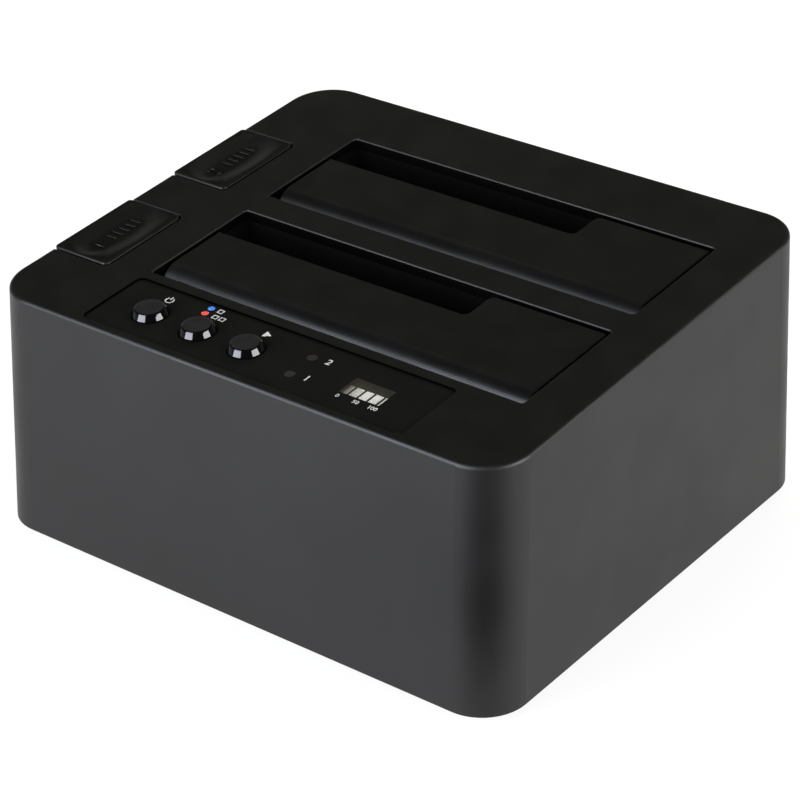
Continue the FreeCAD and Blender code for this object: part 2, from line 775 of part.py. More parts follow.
def flap_ribs(middle):
    """Stiffening ribs under the plate, and the deeper one that takes the spring's arm."""
    left, right = flap_ends()
    front = bay_front(middle) + WATERFALL_START
    back = bay_back(middle) - NOTCH_DEPTH - 2 * RIB_T
    top = -FLAP_DROP - FLAP_T / 2
    low = -FLAP_DROP - FLAP_T - RIB_H
    ribs = []
    for index in range(RIB_COUNT):
        x = left + (index + 1) * (right - left) / (RIB_COUNT + 1)
        ribs.append(box(x - RIB_T / 2, x + RIB_T / 2, front, back, low, top))
    x, arm_low = hinge_arm()
    seat_y = bay_front(middle) + PIVOT_BACK + HINGE_LEG
    seat_low = arm_low + HINGE_WIRE_R + SPRING_SEAT
    half = SPRING_SEAT_T / 2
    ribs.append(box(x - half, x + half, seat_y - SPRING_SEAT_T, seat_y, seat_low, top))
    return ribs


def coil_span():
    """Both ends of the hinge spring's coil along X."""
    start = flap_ends()[0] + HINGE_SPRING_X
    return start, start + HINGE_HALF_TURNS * HINGE_PITCH / 2


def hinge_arm():
    """X and height of the spring's long arm, under the hinge."""
    return coil_span()[1], -PIVOT_DROP - HINGE_COIL_R


def hinge_axis(middle, x0, x1):
    y = bay_front(middle) + PIVOT_BACK
    return Vector(x0, y, -PIVOT_DROP), Vector(x1, y, -PIVOT_DROP)


def flap(middle):
    left, right = flap_ends()
    barrel = rod(BARREL_R, *hinge_axis(middle, left, right))
    solid = flap_plate(middle).multiFuse([barrel] + flap_ribs(middle))
    coil_start, coil_end = coil_span()
    margin = HINGE_WIRE_R + COIL_ROOM
    room = HINGE_COIL_R + HINGE_WIRE_R + COIL_ROOM
    cuts = [
        rod(PIN_R + RUN_GAP, *hinge_axis(middle, left, right)),
        rod(room, *hinge_axis(middle, coil_start - margin, coil_end + margin)),
    ]
    for cut in cuts:
        solid = solid.cut(cut)
    return to_deck(solid)


def flap_pin(middle):
    return rod(PIN_R, pivot_of_flap(middle, BAY_X0 - WELL_T), pivot_of_flap(middle, BAY_X1 + WELL_T))


# Springs

def wire_section(centre, radius):
    """The six-sided outline of spring wire, upright in the XZ plane."""
    points = []
    for index in range(7):
        angle = math.radians(60 * index)
        points.append(centre + Vector(radius * math.cos(angle), 0, radius * math.sin(angle)))
    return Part.makePolygon(points)


def coil(mean_r, wire_r, pitch, half_turns):
    """Skins of half turns about tilted axes, and the outlines at both ends."""
    first = wire_section(Vector(mean_r, 0, 0), wire_r)
    last = first
    skins = []
    for index in range(half_turns):
        side = 1 if index % 2 == 0 else -1
        centre = Vector(0, 0, (index + 0.5) * pitch / 2)
        axis = Vector(side * pitch / (4 * mean_r), 0, 1)
        skins += last.revolve(centre, axis, 180).Faces
        last = last.rotated(centre, axis, 180)
    return skins, first, last


def spring_solid(skins, first, last):
    """Closes the skins of a spring with its two end faces."""
    shell = Part.makeShell(skins + [Part.Face(first), Part.Face(last)])
    shell.sewShape()
    return Part.makeSolid(shell)


def hinge_spring(middle):
    """A torsion spring round the hinge pin: one arm under the flap, one against the well."""
    skins, first, last = coil(HINGE_COIL_R, HINGE_WIRE_R, HINGE_PITCH, HINGE_HALF_TURNS)
    arm = Vector(0, -HINGE_LEG, 0)
    foot = Vector(0, HINGE_FOOT, 0)
    skins += first.extrude(arm).Faces + last.extrude(foot).Faces
    spring = spring_solid(skins, first.translated(arm), last.translated(foot))
    lying = spring.rotated(ORIGIN, Y_AXIS, 90).rotated(ORIGIN, Z_AXIS, 180)
    x = hinge_arm()[0]
    place = hinge_axis(middle, x, x)[0]
    return to_deck(lying.translated(place))


def eject_spring(middle):
    low = pocket_floor(middle) + EJECT_WIRE_R + SPRING_SEAT
    high = cap_underside(middle) - EJECT_WIRE_R - SPRING_SEAT
    pitch = 2 * (high - low) / EJECT_HALF_TURNS
    spring = spring_solid(*coil(EJECT_COIL_R, EJECT_WIRE_R, pitch, EJECT_HALF_TURNS))
    return spring.translated(spring_centre(middle, low))


# Eject buttons and levers

def cap_underside(middle):
    """Level underside of the button's top, over the spring."""
    front = pocket_span(middle)[0]
    return deck_height(front) + EJECT_RISE - EJECT_TOP_T


def eject_top(middle):
    """The button's cap: rounded plan, drafted outer face, tilted top with a dish."""
    front, back = pocket_span(middle)
    low = skirt_low(middle)
    face = left_wall(low) - EJECT_PROUD
    block = prism(face, EJECT_X1 - EJECT_GAP, front + EJECT_GAP, back - EJECT_GAP,
                  EJECT_CORNER_R - EJECT_GAP, low, REACH)
    outline = case_solid(FOOT_STAND, case_top(), -EJECT_PROUD)
    block = block.common(outline).common(below_deck(EJECT_RISE))
    rim = edges_on_deck(block, EJECT_RISE, lambda point: True)
    block = block.makeFillet(EJECT_EDGE_R, rim)
    return block.cut(dish(middle))


def dish(middle):
    """A shallow finger hollow, longer along Y than along X."""
    across = DISH_W ** 2 / (8 * DISH_DEPTH)
    along = DISH_LEN ** 2 / (8 * DISH_DEPTH)
    ring = Part.makeTorus(along - across, across, ORIGIN, X_AXIS)
    front, back = pocket_span(middle)
    centre_x = (left_wall(HEIGHT) + EJECT_X1) / 2
    lift = EJECT_RISE - DISH_DEPTH + along
    return to_deck(ring.translated(Vector(centre_x, (front + back) / 2, lift)))


def eject_button(middle):
    """Cap, hollow underside, apron behind the wall, spring boss and the leg that works the lever."""
    front, back = pocket_span(middle)
    low = skirt_low(middle)
    under = cap_underside(middle)
    inside_x0 = left_wall(low) + EJECT_SKIN
    hollow = box(inside_x0, EJECT_X1 - EJECT_GAP - EJECT_SKIN, front + EJECT_GAP + EJECT_SKIN,
                 back - EJECT_GAP - EJECT_SKIN, low - SPARE, under)
    cap = eject_top(middle).cut(hollow)
    apron_x0 = left_wall(slit_low(middle)) + WALL + 2 * EJECT_GAP
    apron = box(apron_x0, apron_x0 + EJECT_SKIN, front + EJECT_GAP + EJECT_SKIN / 2,
                back - EJECT_GAP - EJECT_SKIN / 2, low - APRON_H, under + TOUCH)
    leg_front, leg_back = leg_span(middle)
    tip = LEVER_Z + LEVER_DROP + LEG_GAP
    radius = LEG_W / 2
    leg = box(LEG_X - radius, LEG_X + radius, leg_front, leg_back, tip + radius, under + TOUCH)
    toe = rod(radius, Vector(LEG_X, leg_front, tip + radius), Vector(LEG_X, leg_back, tip + radius))
    seat = spring_centre(middle, under)
    boss = rod(SPRING_POST_R, seat - Z_AXIS * EJECT_TOP_T, seat + Z_AXIS * TOUCH)
    return cap.multiFuse([apron, leg, toe, boss])


def ejector_lever(middle):
    """A rocker: the button's leg presses one arm and the other lifts the drive."""
    press = [middle + y for y in PRESS_ARM_Y]
    lift = [middle + y for y in LIFT_ARM_Y]
    hub = rod(HUB_R, Vector(LEVER_X, press[0], LEVER_Z), Vector(LEVER_X, lift[1], LEVER_Z))
    top = LEVER_Z + LEVER_DROP
    outer_end = LEG_X - LEVER_TIP
    outer = prism(outer_end, LEVER_X, press[0], press[1], LEVER_TIP / 2, top - LEVER_T, top)
    inner_end = LEVER_X + LEVER_LIFT
    inner_top = FLOOR_Z - LEVER_SUNK
    inner = prism(LEVER_X, inner_end, lift[0], lift[1], LEVER_TIP / 2, inner_top - LEVER_T, inner_top)
    nose = [edge for edge in inner.Edges
            if edge.BoundBox.XMin > inner_end - TOUCH and edge.BoundBox.ZMin > inner_top - TOUCH]
    inner = inner.makeFillet(LEVER_T / 4, nose)
    lever = hub.multiFuse([outer, inner])
    bore = rod(PIN_R + RUN_GAP, Vector(LEVER_X, press[0], LEVER_Z), Vector(LEVER_X, lift[1], LEVER_Z))
    return lever.cut(bore)


def lever_pin(middle):
    ears = ear_spans(middle)
    return rod(PIN_R, Vector(LEVER_X, ears[0][0], LEVER_Z), Vector(LEVER_X, ears[1][1], LEVER_Z))


# Control panel, drawn on the level deck

def key_places():
    return [KEY_X0 + index * KEY_PITCH for index in range(len(KEYS))]


def control_panel():
    """The sunk plate with holes for the keys, the lights and the window."""
    plate = panel_prism(-PANEL_GAP, PANEL_LOW, PANEL_TOP)
    for x in key_places():
        plate = plate.cut(rod(KEY_R + KEY_GAP, Vector(x, KEY_Y, -DECK_T), Vector(x, KEY_Y, DECK_T)))
    for y in LIGHT_Y:
        plate = plate.cut(rod(LIGHT_R + TOUCH, Vector(LIGHT_X, y, -DECK_T), Vector(LIGHT_X, y, DECK_T)))
    return to_deck(plate.cut(window_prism(TOUCH, -DECK_T, DECK_T)))


def window_prism(grow, low, high):
    half_w = WINDOW_W / 2 + grow
    half_d = WINDOW_D / 2 + grow
    return box(WINDOW_X - half_w, WINDOW_X + half_w, WINDOW_Y - half_d, WINDOW_Y + half_d, low, high)


def key_low():
    """Underside of a key's stem."""
    return SWITCH_TOP + PLUNGER_OUT + TOUCH


def push_key(x):
    """A round key: flat face with a softened edge, conical flank, retaining flange and stem."""
    top = PANEL_TOP + KEY_H
    flange_top = PANEL_LOW - KEY_REST_GAP
    flange_low = flange_top - KEY_FLANGE_T
    points = [
        (0, top),
        (KEY_TOP_R, top),
        (KEY_R, PANEL_TOP + KEY_RIM),
        (KEY_R, flange_top),
        (KEY_FLANGE_R, flange_top),
        (KEY_FLANGE_R, flange_low),
        (KEY_STEM_R, flange_low),
        (KEY_STEM_R, key_low()),
        (0, key_low()),
    ]
    key = turned(points, x, KEY_Y)
    rim = [edge for edge in key.Edges
           if edge.BoundBox.ZMin > top - TOUCH and edge.BoundBox.XLength > 1.5 * KEY_TOP_R]
    return to_deck(key.makeFillet(KEY_SOFT, rim))


def switch_plunger(x):
    low = Vector(x, KEY_Y, SWITCH_TOP - PLUNGER_IN)
    return to_deck(rod(PLUNGER_R, low, Vector(x, KEY_Y, SWITCH_TOP + PLUNGER_OUT)))


def switch_bodies():
    bodies = []
    half = SWITCH_W / 2
    for x in key_places():
        body = box(x - half, x + half, KEY_Y - half, KEY_Y + half, -KEY_BOARD_DEPTH, SWITCH_TOP)
        depth = PLUNGER_IN + KEY_TRAVEL + SPARE
        well = rod(PLUNGER_R + KEY_GAP / 2, Vector(x, KEY_Y, SWITCH_TOP - depth), Vector(x, KEY_Y, 0))
        bodies.append(to_deck(body.cut(well)))
    return bodies


def light_pipes():
    pipes = []
    for y in LIGHT_Y:
        low = LED_H + LED_GAP - KEY_BOARD_DEPTH
        pipe = rod(LIGHT_R, Vector(LIGHT_X, y, low), Vector(LIGHT_X, y, PANEL_TOP))
        collar_top = PANEL_LOW - TOUCH
        collar_low = Vector(LIGHT_X, y, collar_top - LIGHT_FLANGE_T)
        collar = rod(LIGHT_FLANGE_R, collar_low, Vector(LIGHT_X, y, collar_top))
        pipes.append(to_deck(pipe.fuse(collar)))
    return pipes


def drive_leds():
    half = LED_W / 2
    low = -KEY_BOARD_DEPTH
    span_x = (LIGHT_X - half, LIGHT_X + half)
    return [to_deck(box(*span_x, y - half, y + half, low, low + LED_H)) for y in LIGHT_Y]


def progress_window():
    return to_deck(window_prism(0, PANEL_LOW, PANEL_TOP))


def bar_top():
    return PANEL_LOW - TOUCH


def progress_bars():
    bars = []
    y = WINDOW_Y + BAR_DY
    for index in range(BAR_COUNT):
        x = WINDOW_X + (index - (BAR_COUNT - 1) / 2) * BAR_PITCH
        bar = box(x - BAR_W / 2, x + BAR_W / 2, y - BAR_D / 2, y + BAR_D / 2, bar_top() - BAR_T, bar_top())
        bars.append(to_deck(bar))
    return bars


def progress_module():
    """The block on the key board that carries the bars."""
    half = (BAR_COUNT * BAR_PITCH) / 2
    y = WINDOW_Y + BAR_DY
    half_d = BAR_D / 2 + SPARE
    top = bar_top() - BAR_T
    return to_deck(box(WINDOW_X - half, WINDOW_X + half, y - half_d, y + half_d, -KEY_BOARD_DEPTH, top))


def control_board():
    low = -KEY_BOARD_DEPTH - KEY_BOARD_T
    half_w = KEY_BOARD_W / 2
    half_d = KEY_BOARD_D / 2
    board = box(-half_w, half_w, PANEL_Y - half_d, PANEL_Y + half_d, low, -KEY_BOARD_DEPTH)
    for x, y in key_boss_places():
        board = board.cut(rod(SCREW_HOLE_R, Vector(x, y, low), Vector(x, y, 0)))
    return to_deck(board)


def pan_screw(x, y, seat, into):
    """A small pan-head screw whose head sits on a level face; into is 1 upwards, -1 downwards."""
    shoulder = SCREW_HEAD_H / 3
    outline = [
        (0, SCREW_LEN),
        (SCREW_R, SCREW_LEN),
        (SCREW_R, 0),
        (SCREW_HEAD_R, 0),
        (SCREW_HEAD_R, shoulder - SCREW_HEAD_H),
        (SCREW_HEAD_R - shoulder, -SCREW_HEAD_H),
        (0, -SCREW_HEAD_H),
    ]
    return turned([(radius, seat + into * height) for radius, height in outline], x, y)


def control_board_screws():
    seat = -KEY_BOARD_DEPTH - KEY_BOARD_T
    return [to_deck(pan_screw(x, y, seat, 1)) for x, y in key_boss_places()]


# Main board and what stands on it

def main_board():
    board = prism(*MAIN_BOARD_X, *MAIN_BOARD_Y, MAIN_BOARD_R, MAIN_BOARD_Z, MAIN_BOARD_TOP)
    for x, y in post_places():
        board = board.cut(rod(SCREW_HOLE_R, Vector(x, y, 0), Vector(x, y, MAIN_BOARD_TOP)))
    return board


def board_screws():
    return [pan_screw(x, y, MAIN_BOARD_TOP, -1) for x, y in post_places()]


def drive_connector(middle):
    """An upright connector block with keyed slots for the signal and power tongues."""
    x, y = connector_place(middle)
    top = FLOOR_Z + CONNECTOR_RISE
    half_w = CONNECTOR_W / 2
    half_d = CONNECTOR_D / 2
    body = box(x - half_w, x + half_w, y - half_d, y + half_d, MAIN_BOARD_TOP, top)
    start = x - (SIGNAL_LEN + TONGUE_GAP + POWER_LEN) / 2
    for length in (SIGNAL_LEN, POWER_LEN):
        slot = box(start, start + length, y - TONGUE_W / 2, y + TONGUE_W / 2, top - TONGUE_DEPTH, top)
        key_back = y + TONGUE_W / 2 + TONGUE_KEY
        key = box(start + length - TONGUE_KEY, start + length, y, key_back, top - TONGUE_DEPTH, top)
        body = body.cut(slot.fuse(key))
        start += length + TONGUE_GAP
    return body


def port_face():
    return rear_wall(MAIN_BOARD_TOP + USB_H) - PORT_SUNK


def port_block(x, width, height, length):
    face = port_face()
    return box(x - width / 2, x + width / 2, face - length, face, MAIN_BOARD_TOP, MAIN_BOARD_TOP + height)


def jack_axis(depth):
    z = MAIN_BOARD_TOP + JACK_H / 2
    return Vector(JACK_X, port_face() - depth, z)


def power_jack():
    block = port_block(JACK_X, JACK_W, JACK_H, JACK_LEN)
    return block.cut(rod(JACK_BORE_R, jack_axis(JACK_BORE_DEPTH), jack_axis(0)))


def power_jack_pin():
    return rod(JACK_PIN_R, jack_axis(JACK_BORE_DEPTH), jack_axis(JACK_PIN_SHORT))


def usb_mouth():
    """The opening of the square port: bevelled upper corners and a hump above."""
    low = MAIN_BOARD_TOP + USB_LIP
    shoulder = low + USB_MOUTH_H
    half = USB_MOUTH_W / 2
    hump = USB_HUMP_W / 2
    outline = [
        (-half, low),
        (half, low),
        (half, shoulder - USB_CHAMFER),
        (hump, shoulder),
        (hump, shoulder + USB_HUMP_H),
        (-hump, shoulder + USB_HUMP_H),
        (-hump, shoulder),
        (-half, shoulder - USB_CHAMFER),
    ]
    face = port_face() - USB_CAVITY
    points = [Vector(USB_X + x, face, z) for x, z in outline + outline[:1]]
    return Part.Face(Part.makePolygon(points)).extrude(Vector(0, USB_CAVITY, 0))


def usb_port_shell():
    return port_block(USB_X, USB_W, USB_H, USB_LEN).cut(usb_mouth())


def usb_port_core():
    """The two contact tongues inside the square port, one above the other."""
    back = port_face() - USB_CAVITY
    front = port_face() - CORE_SHORT
    middle = MAIN_BOARD_TOP + USB_LIP + USB_MOUTH_H / 2
    half = USB_CORE_W / 2
    lower = box(USB_X - half, USB_X + half, back, front, middle - USB_CORE_H / 2, middle + USB_CORE_H / 2)
    hump = MAIN_BOARD_TOP + USB_LIP + USB_MOUTH_H + USB_HUMP_H / 2
    half = USB_HUMP_W / 2 - SPARE
    half_h = USB_HUMP_CORE_H / 2
    upper = box(USB_X - half, USB_X + half, back, front, hump - half_h, hump + half_h)
    return [lower, upper]


def esata_mouth():
    face = port_face()
    low = MAIN_BOARD_TOP + (ESATA_H - ESATA_MOUTH_H) / 2
    half = ESATA_MOUTH_W / 2
    return box(ESATA_X - half, ESATA_X + half, face - ESATA_CAVITY, face, low, low + ESATA_MOUTH_H)


def esata_port_shell():
    return port_block(ESATA_X, ESATA_W, ESATA_H, ESATA_LEN).cut(esata_mouth())


def esata_port_core():
    """The keyed tongue inside the flat port."""
    back = port_face() - ESATA_CAVITY
    front = port_face() - CORE_SHORT
    middle = MAIN_BOARD_TOP + ESATA_H / 2
    half = ESATA_CORE_W / 2
    tongue = box(ESATA_X - half, ESATA_X + half, back, front, middle, middle + ESATA_CORE_T)
    key = box(ESATA_X - half, ESATA_X - half + ESATA_CORE_T, back, front, middle - ESATA_CORE_T, middle)
    return tongue.fuse(key)


# Ribbon

def upper_socket():
    low = -KEY_BOARD_DEPTH - KEY_BOARD_T - SOCKET_H
    half = SOCKET_W / 2
    y = RIBBON_TOP_Y
    half_d = SOCKET_D / 2
    return to_deck(box(RIBBON_X - half, RIBBON_X + half, y - half_d, y + half_d, low, low + SOCKET_H))


def lower_socket():
    half = SOCKET_W / 2
    y = RIBBON_LOW_Y
    low = MAIN_BOARD_TOP
    return box(RIBBON_X - half, RIBBON_X + half, y - SOCKET_D / 2, y + SOCKET_D / 2, low, low + SOCKET_H)


def bend(before, corner, after, radius):
    """Start, middle and end of the arc that rounds a corner of the ribbon's path."""
    inward = (before - corner).normalize()
    outward = (after - corner).normalize()
    half = inward.getAngle(outward) / 2
    run = radius / math.tan(half)
    centre = corner + (inward + outward).normalize() * (radius / math.sin(half))
    middle = centre + (corner - centre).normalize() * radius
    return corner + inward * run, middle, corner + outward * run


def control_ribbon():
    """A flat cable that drops from the key board, steps back and reaches the main board."""
    socket_low = -KEY_BOARD_DEPTH - KEY_BOARD_T - SOCKET_H
    top = deck_point(RIBBON_X, RIBBON_TOP_Y, socket_low - RIBBON_T)
    foot = Vector(RIBBON_X, RIBBON_LOW_Y, MAIN_BOARD_TOP + SOCKET_H)
    upper = Vector(RIBBON_X, top.y, RIBBON_STEP_Z[0])
    lower = Vector(RIBBON_X, foot.y, RIBBON_STEP_Z[1])
    first = bend(top, upper, lower, RIBBON_BEND_R)
    second = bend(upper, lower, foot, RIBBON_BEND_R)
    path = Part.Wire([
        Part.makeLine(top, first[0]),
        Part.Arc(*first).toShape(),
        Part.makeLine(first[2], second[0]),
        Part.Arc(*second).toShape(),
        Part.makeLine(second[2], foot),
    ])
    half_w = RIBBON_W / 2
    half_t = RIBBON_T / 2
    corners = ((-half_w, -half_t), (half_w, -half_t), (half_w, half_t), (-half_w, half_t), (-half_w, -half_t))
    section = Part.makePolygon([top + Vector(x, y, 0) for x, y in corners])
    return path.makePipeShell([section], True, False)


def pieces():
    """Every node of the dock by name, as one solid or a list of like solids."""
    nodes = {
        "housing": housing(),
        "bottom_cover": bottom_cover(),
        "cover_screws": cover_screws(),
        "rubber_feet": rubber_feet(),
        "control_panel": control_panel(),
        "control_board": control_board(),
        "control_board_screws": control_board_screws(),
        "switch_bodies": switch_bodies(),
        "drive_light_pipes": light_pipes(),
        "drive_leds": drive_leds(),
        "progress_window": progress_window(),
        "progress_light_bars": progress_bars(),
        "progress_bar_module": progress_module(),
        "control_ribbon": control_ribbon(),
        "ribbon_sockets": [upper_socket(), lower_socket()],
        "main_board": main_board(),
        "board_screws": board_screws(),
        "power_jack": power_jack(),
        "power_jack_pin": power_jack_pin(),
        "usb_port_shell": usb_port_shell(),
        "usb_port_core": usb_port_core(),
        "esata_port_shell": esata_port_shell(),
        "esata_port_core": esata_port_core(),
    }
    for name, x in zip(KEYS, key_places()):
        nodes[name + "_button"] = push_key(x)
        nodes[name + "_switch_plunger"] = switch_plunger(x)
    for name, middle in BAYS.items():
        nodes[name + "_drive_well"] = drive_well(middle)
        nodes[name + "_drive_connector"] = drive_connector(middle)
        nodes[name + "_flap"] = flap(middle)
        nodes[name + "_flap_pin"] = flap_pin(middle)
        nodes[name + "_flap_spring"] = hinge_spring(middle)
        nodes[name + "_eject_button"] = eject_button(middle)
        nodes[name + "_eject_spring"] = eject_spring(middle)
        nodes[name + "_ejector_lever"] = ejector_lever(middle)
        nodes[name + "_lever_pin"] = lever_pin(middle)
    return nodes


os.makedirs("parts", exist_ok=True)
for node_name, node_shape in pieces().items():
    if isinstance(node_shape, list):
        node_shape = Part.makeCompound(node_shape)
    node_shape.exportStep("parts/" + node_name + ".step")
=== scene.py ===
"""A two-bay drive dock: finishes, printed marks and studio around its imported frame."""
import json
import logging
import math
from dataclasses import dataclass
from enum import Enum
from typing import Callable, Dict, List, Optional, Sequence, Tuple, Union

import bmesh
import bpy
from mathutils import Matrix, Vector


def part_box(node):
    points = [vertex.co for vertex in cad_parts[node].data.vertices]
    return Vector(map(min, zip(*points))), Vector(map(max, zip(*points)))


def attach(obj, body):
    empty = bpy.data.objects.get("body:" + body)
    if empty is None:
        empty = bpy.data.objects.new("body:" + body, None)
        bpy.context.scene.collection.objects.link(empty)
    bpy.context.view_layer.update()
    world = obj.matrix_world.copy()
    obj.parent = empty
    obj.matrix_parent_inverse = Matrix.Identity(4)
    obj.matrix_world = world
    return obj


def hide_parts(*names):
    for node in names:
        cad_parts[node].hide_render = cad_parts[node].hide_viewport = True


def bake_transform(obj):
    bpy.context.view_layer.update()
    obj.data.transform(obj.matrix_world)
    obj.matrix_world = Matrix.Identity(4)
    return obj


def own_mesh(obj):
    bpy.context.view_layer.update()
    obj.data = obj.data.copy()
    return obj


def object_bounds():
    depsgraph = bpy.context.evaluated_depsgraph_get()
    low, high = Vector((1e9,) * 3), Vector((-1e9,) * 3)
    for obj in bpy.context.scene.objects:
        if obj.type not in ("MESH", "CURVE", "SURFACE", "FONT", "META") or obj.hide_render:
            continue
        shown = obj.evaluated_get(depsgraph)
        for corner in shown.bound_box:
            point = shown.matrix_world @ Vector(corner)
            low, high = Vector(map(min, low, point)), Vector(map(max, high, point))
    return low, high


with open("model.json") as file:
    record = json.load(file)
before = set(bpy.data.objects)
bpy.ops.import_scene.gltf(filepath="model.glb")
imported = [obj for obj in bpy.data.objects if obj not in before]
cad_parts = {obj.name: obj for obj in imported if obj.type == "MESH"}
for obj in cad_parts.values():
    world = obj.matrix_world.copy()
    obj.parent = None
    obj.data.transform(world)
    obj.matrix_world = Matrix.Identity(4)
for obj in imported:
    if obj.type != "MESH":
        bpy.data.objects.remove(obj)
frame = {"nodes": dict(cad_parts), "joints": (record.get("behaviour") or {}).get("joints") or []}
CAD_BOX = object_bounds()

LOG = logging.getLogger("drive_dock")
MM = 0.001
TOUCH = 1e-6        # metres within which places count as the same
HAIR = 1e-7         # the same on the smallest pieces
SIDES = ("front", "rear")

Colour = Tuple[float, float, float]
Place = Tuple[float, float]     # in plan, in millimetres
Pair = Tuple[float, float]
Triple = Tuple[float, float, float]
Socket = bpy.types.NodeSocket
Value = Union[float, Sequence[float], Socket]
Material = bpy.types.Material
Piece = bpy.types.Object


class Part(Enum):
    """What an edit step selects."""

    FACES = "FACE"
    EDGES = "EDGE"
    CORNERS = "VERT"


def linear(colour: Colour, factor: float = 1.0) -> Tuple[float, float, float, float]:
    """Turn a screen colour into the linear colour that a shader reads.

    Args:
        colour: Red, green and blue from 0 to 255.
        factor: Brightness factor on the linear values.

    Returns:
        The linear red, green and blue with an alpha of 1.
    """
    parts = []
    for part in colour:
        value = part / 255.0
        value = value / 12.92 if value <= 0.04045 else ((value + 0.055) / 1.055) ** 2.4
        parts.append(min(1.0, value * factor))
    return parts[0], parts[1], parts[2], 1.0


def direction(azimuth: float, elevation: float) -> Vector:
    """Give the way from the part to a place around it.

    Args:
        azimuth: Degrees from the front towards the right.
        elevation: Degrees above the floor.

    Returns:
        The way, of length 1.
    """
    az, el = math.radians(azimuth), math.radians(elevation)
    return Vector((math.sin(az) * math.cos(el), -math.cos(az) * math.cos(el), math.sin(el)))


def joint(name: str) -> Dict[str, object]:
    """Give a joint of the frame by its name."""
    return next(row for row in frame["joints"] if row["name"] == name)


def corners(node: str) -> List[Vector]:
    """Give the corners of a piece of the frame, in metres."""
    return [corner.co for corner in frame["nodes"][node].data.vertices]


def middle_of(low: Vector, high: Vector) -> List[float]:
    """Give the middle of a box."""
    return [(start + end) / 2 for start, end in zip(low, high)]


def stand(name: str, data: bpy.types.ID) -> Piece:
    """Put a mesh, a lamp or a camera into the scene.

    Args:
        name: Name of the new object.
        data: What it shows.

    Returns:
        The new object, at the origin.
    """
    item = bpy.data.objects.new(name, data)
    bpy.context.scene.collection.objects.link(item)
    return item


class NodeTree:
    """Shader nodes, added and joined by short calls."""

    def __init__(self, tree: bpy.types.NodeTree) -> None:
        """Take over a tree.

        Args:
            tree: Blender's node tree.
        """
        self.nodes = tree.nodes
        self.links = tree.links

    def add(self, kind: str, inputs: Optional[Dict[object, Value]] = None,
            **settings: object) -> bpy.types.Node:
        """Add a node.

        Args:
            kind: Blender's name of the node type.
            inputs: Values or sockets for its inputs, by name or number.
            settings: Properties of the node.

        Returns:
            The new node.
        """
        node = self.nodes.new(kind)
        for key, value in settings.items():
            setattr(node, key, value)
        for key, value in (inputs or {}).items():
            self.feed(node, key, value)
        return node

    def feed(self, node: bpy.types.Node, key: object, value: Value) -> None:
        """Set an input to a value or link it to a socket.

        Args:
            node: The node that is fed.
            key: Name or number of its input.
            value: A constant or an output socket.
        """
        if isinstance(value, Socket):
            self.links.new(value, node.inputs[key])
        else:
            node.inputs[key].default_value = value

    def split(self, vector: Socket) -> Dict[str, Socket]:
        """Give the X, Y and Z of a vector."""
        return dict(self.add("ShaderNodeSeparateXYZ", {0: vector}).outputs.items())

    def spread(self, fac: Value, low: float, high: float, span: Pair = (0.35, 0.65)) -> Socket:
        """Map a pattern to a range.

        Args:
            fac: The pattern.
            low: Result at the start of the span.
            high: Result at its end.
            span: The pattern's own range.

        Returns:
            The mapped value.
        """
        inputs = {"Value": fac, "From Min": span[0], "From Max": span[1], "To Min": low, "To Max": high}
        return self.add("ShaderNodeMapRange", inputs).outputs["Result"]


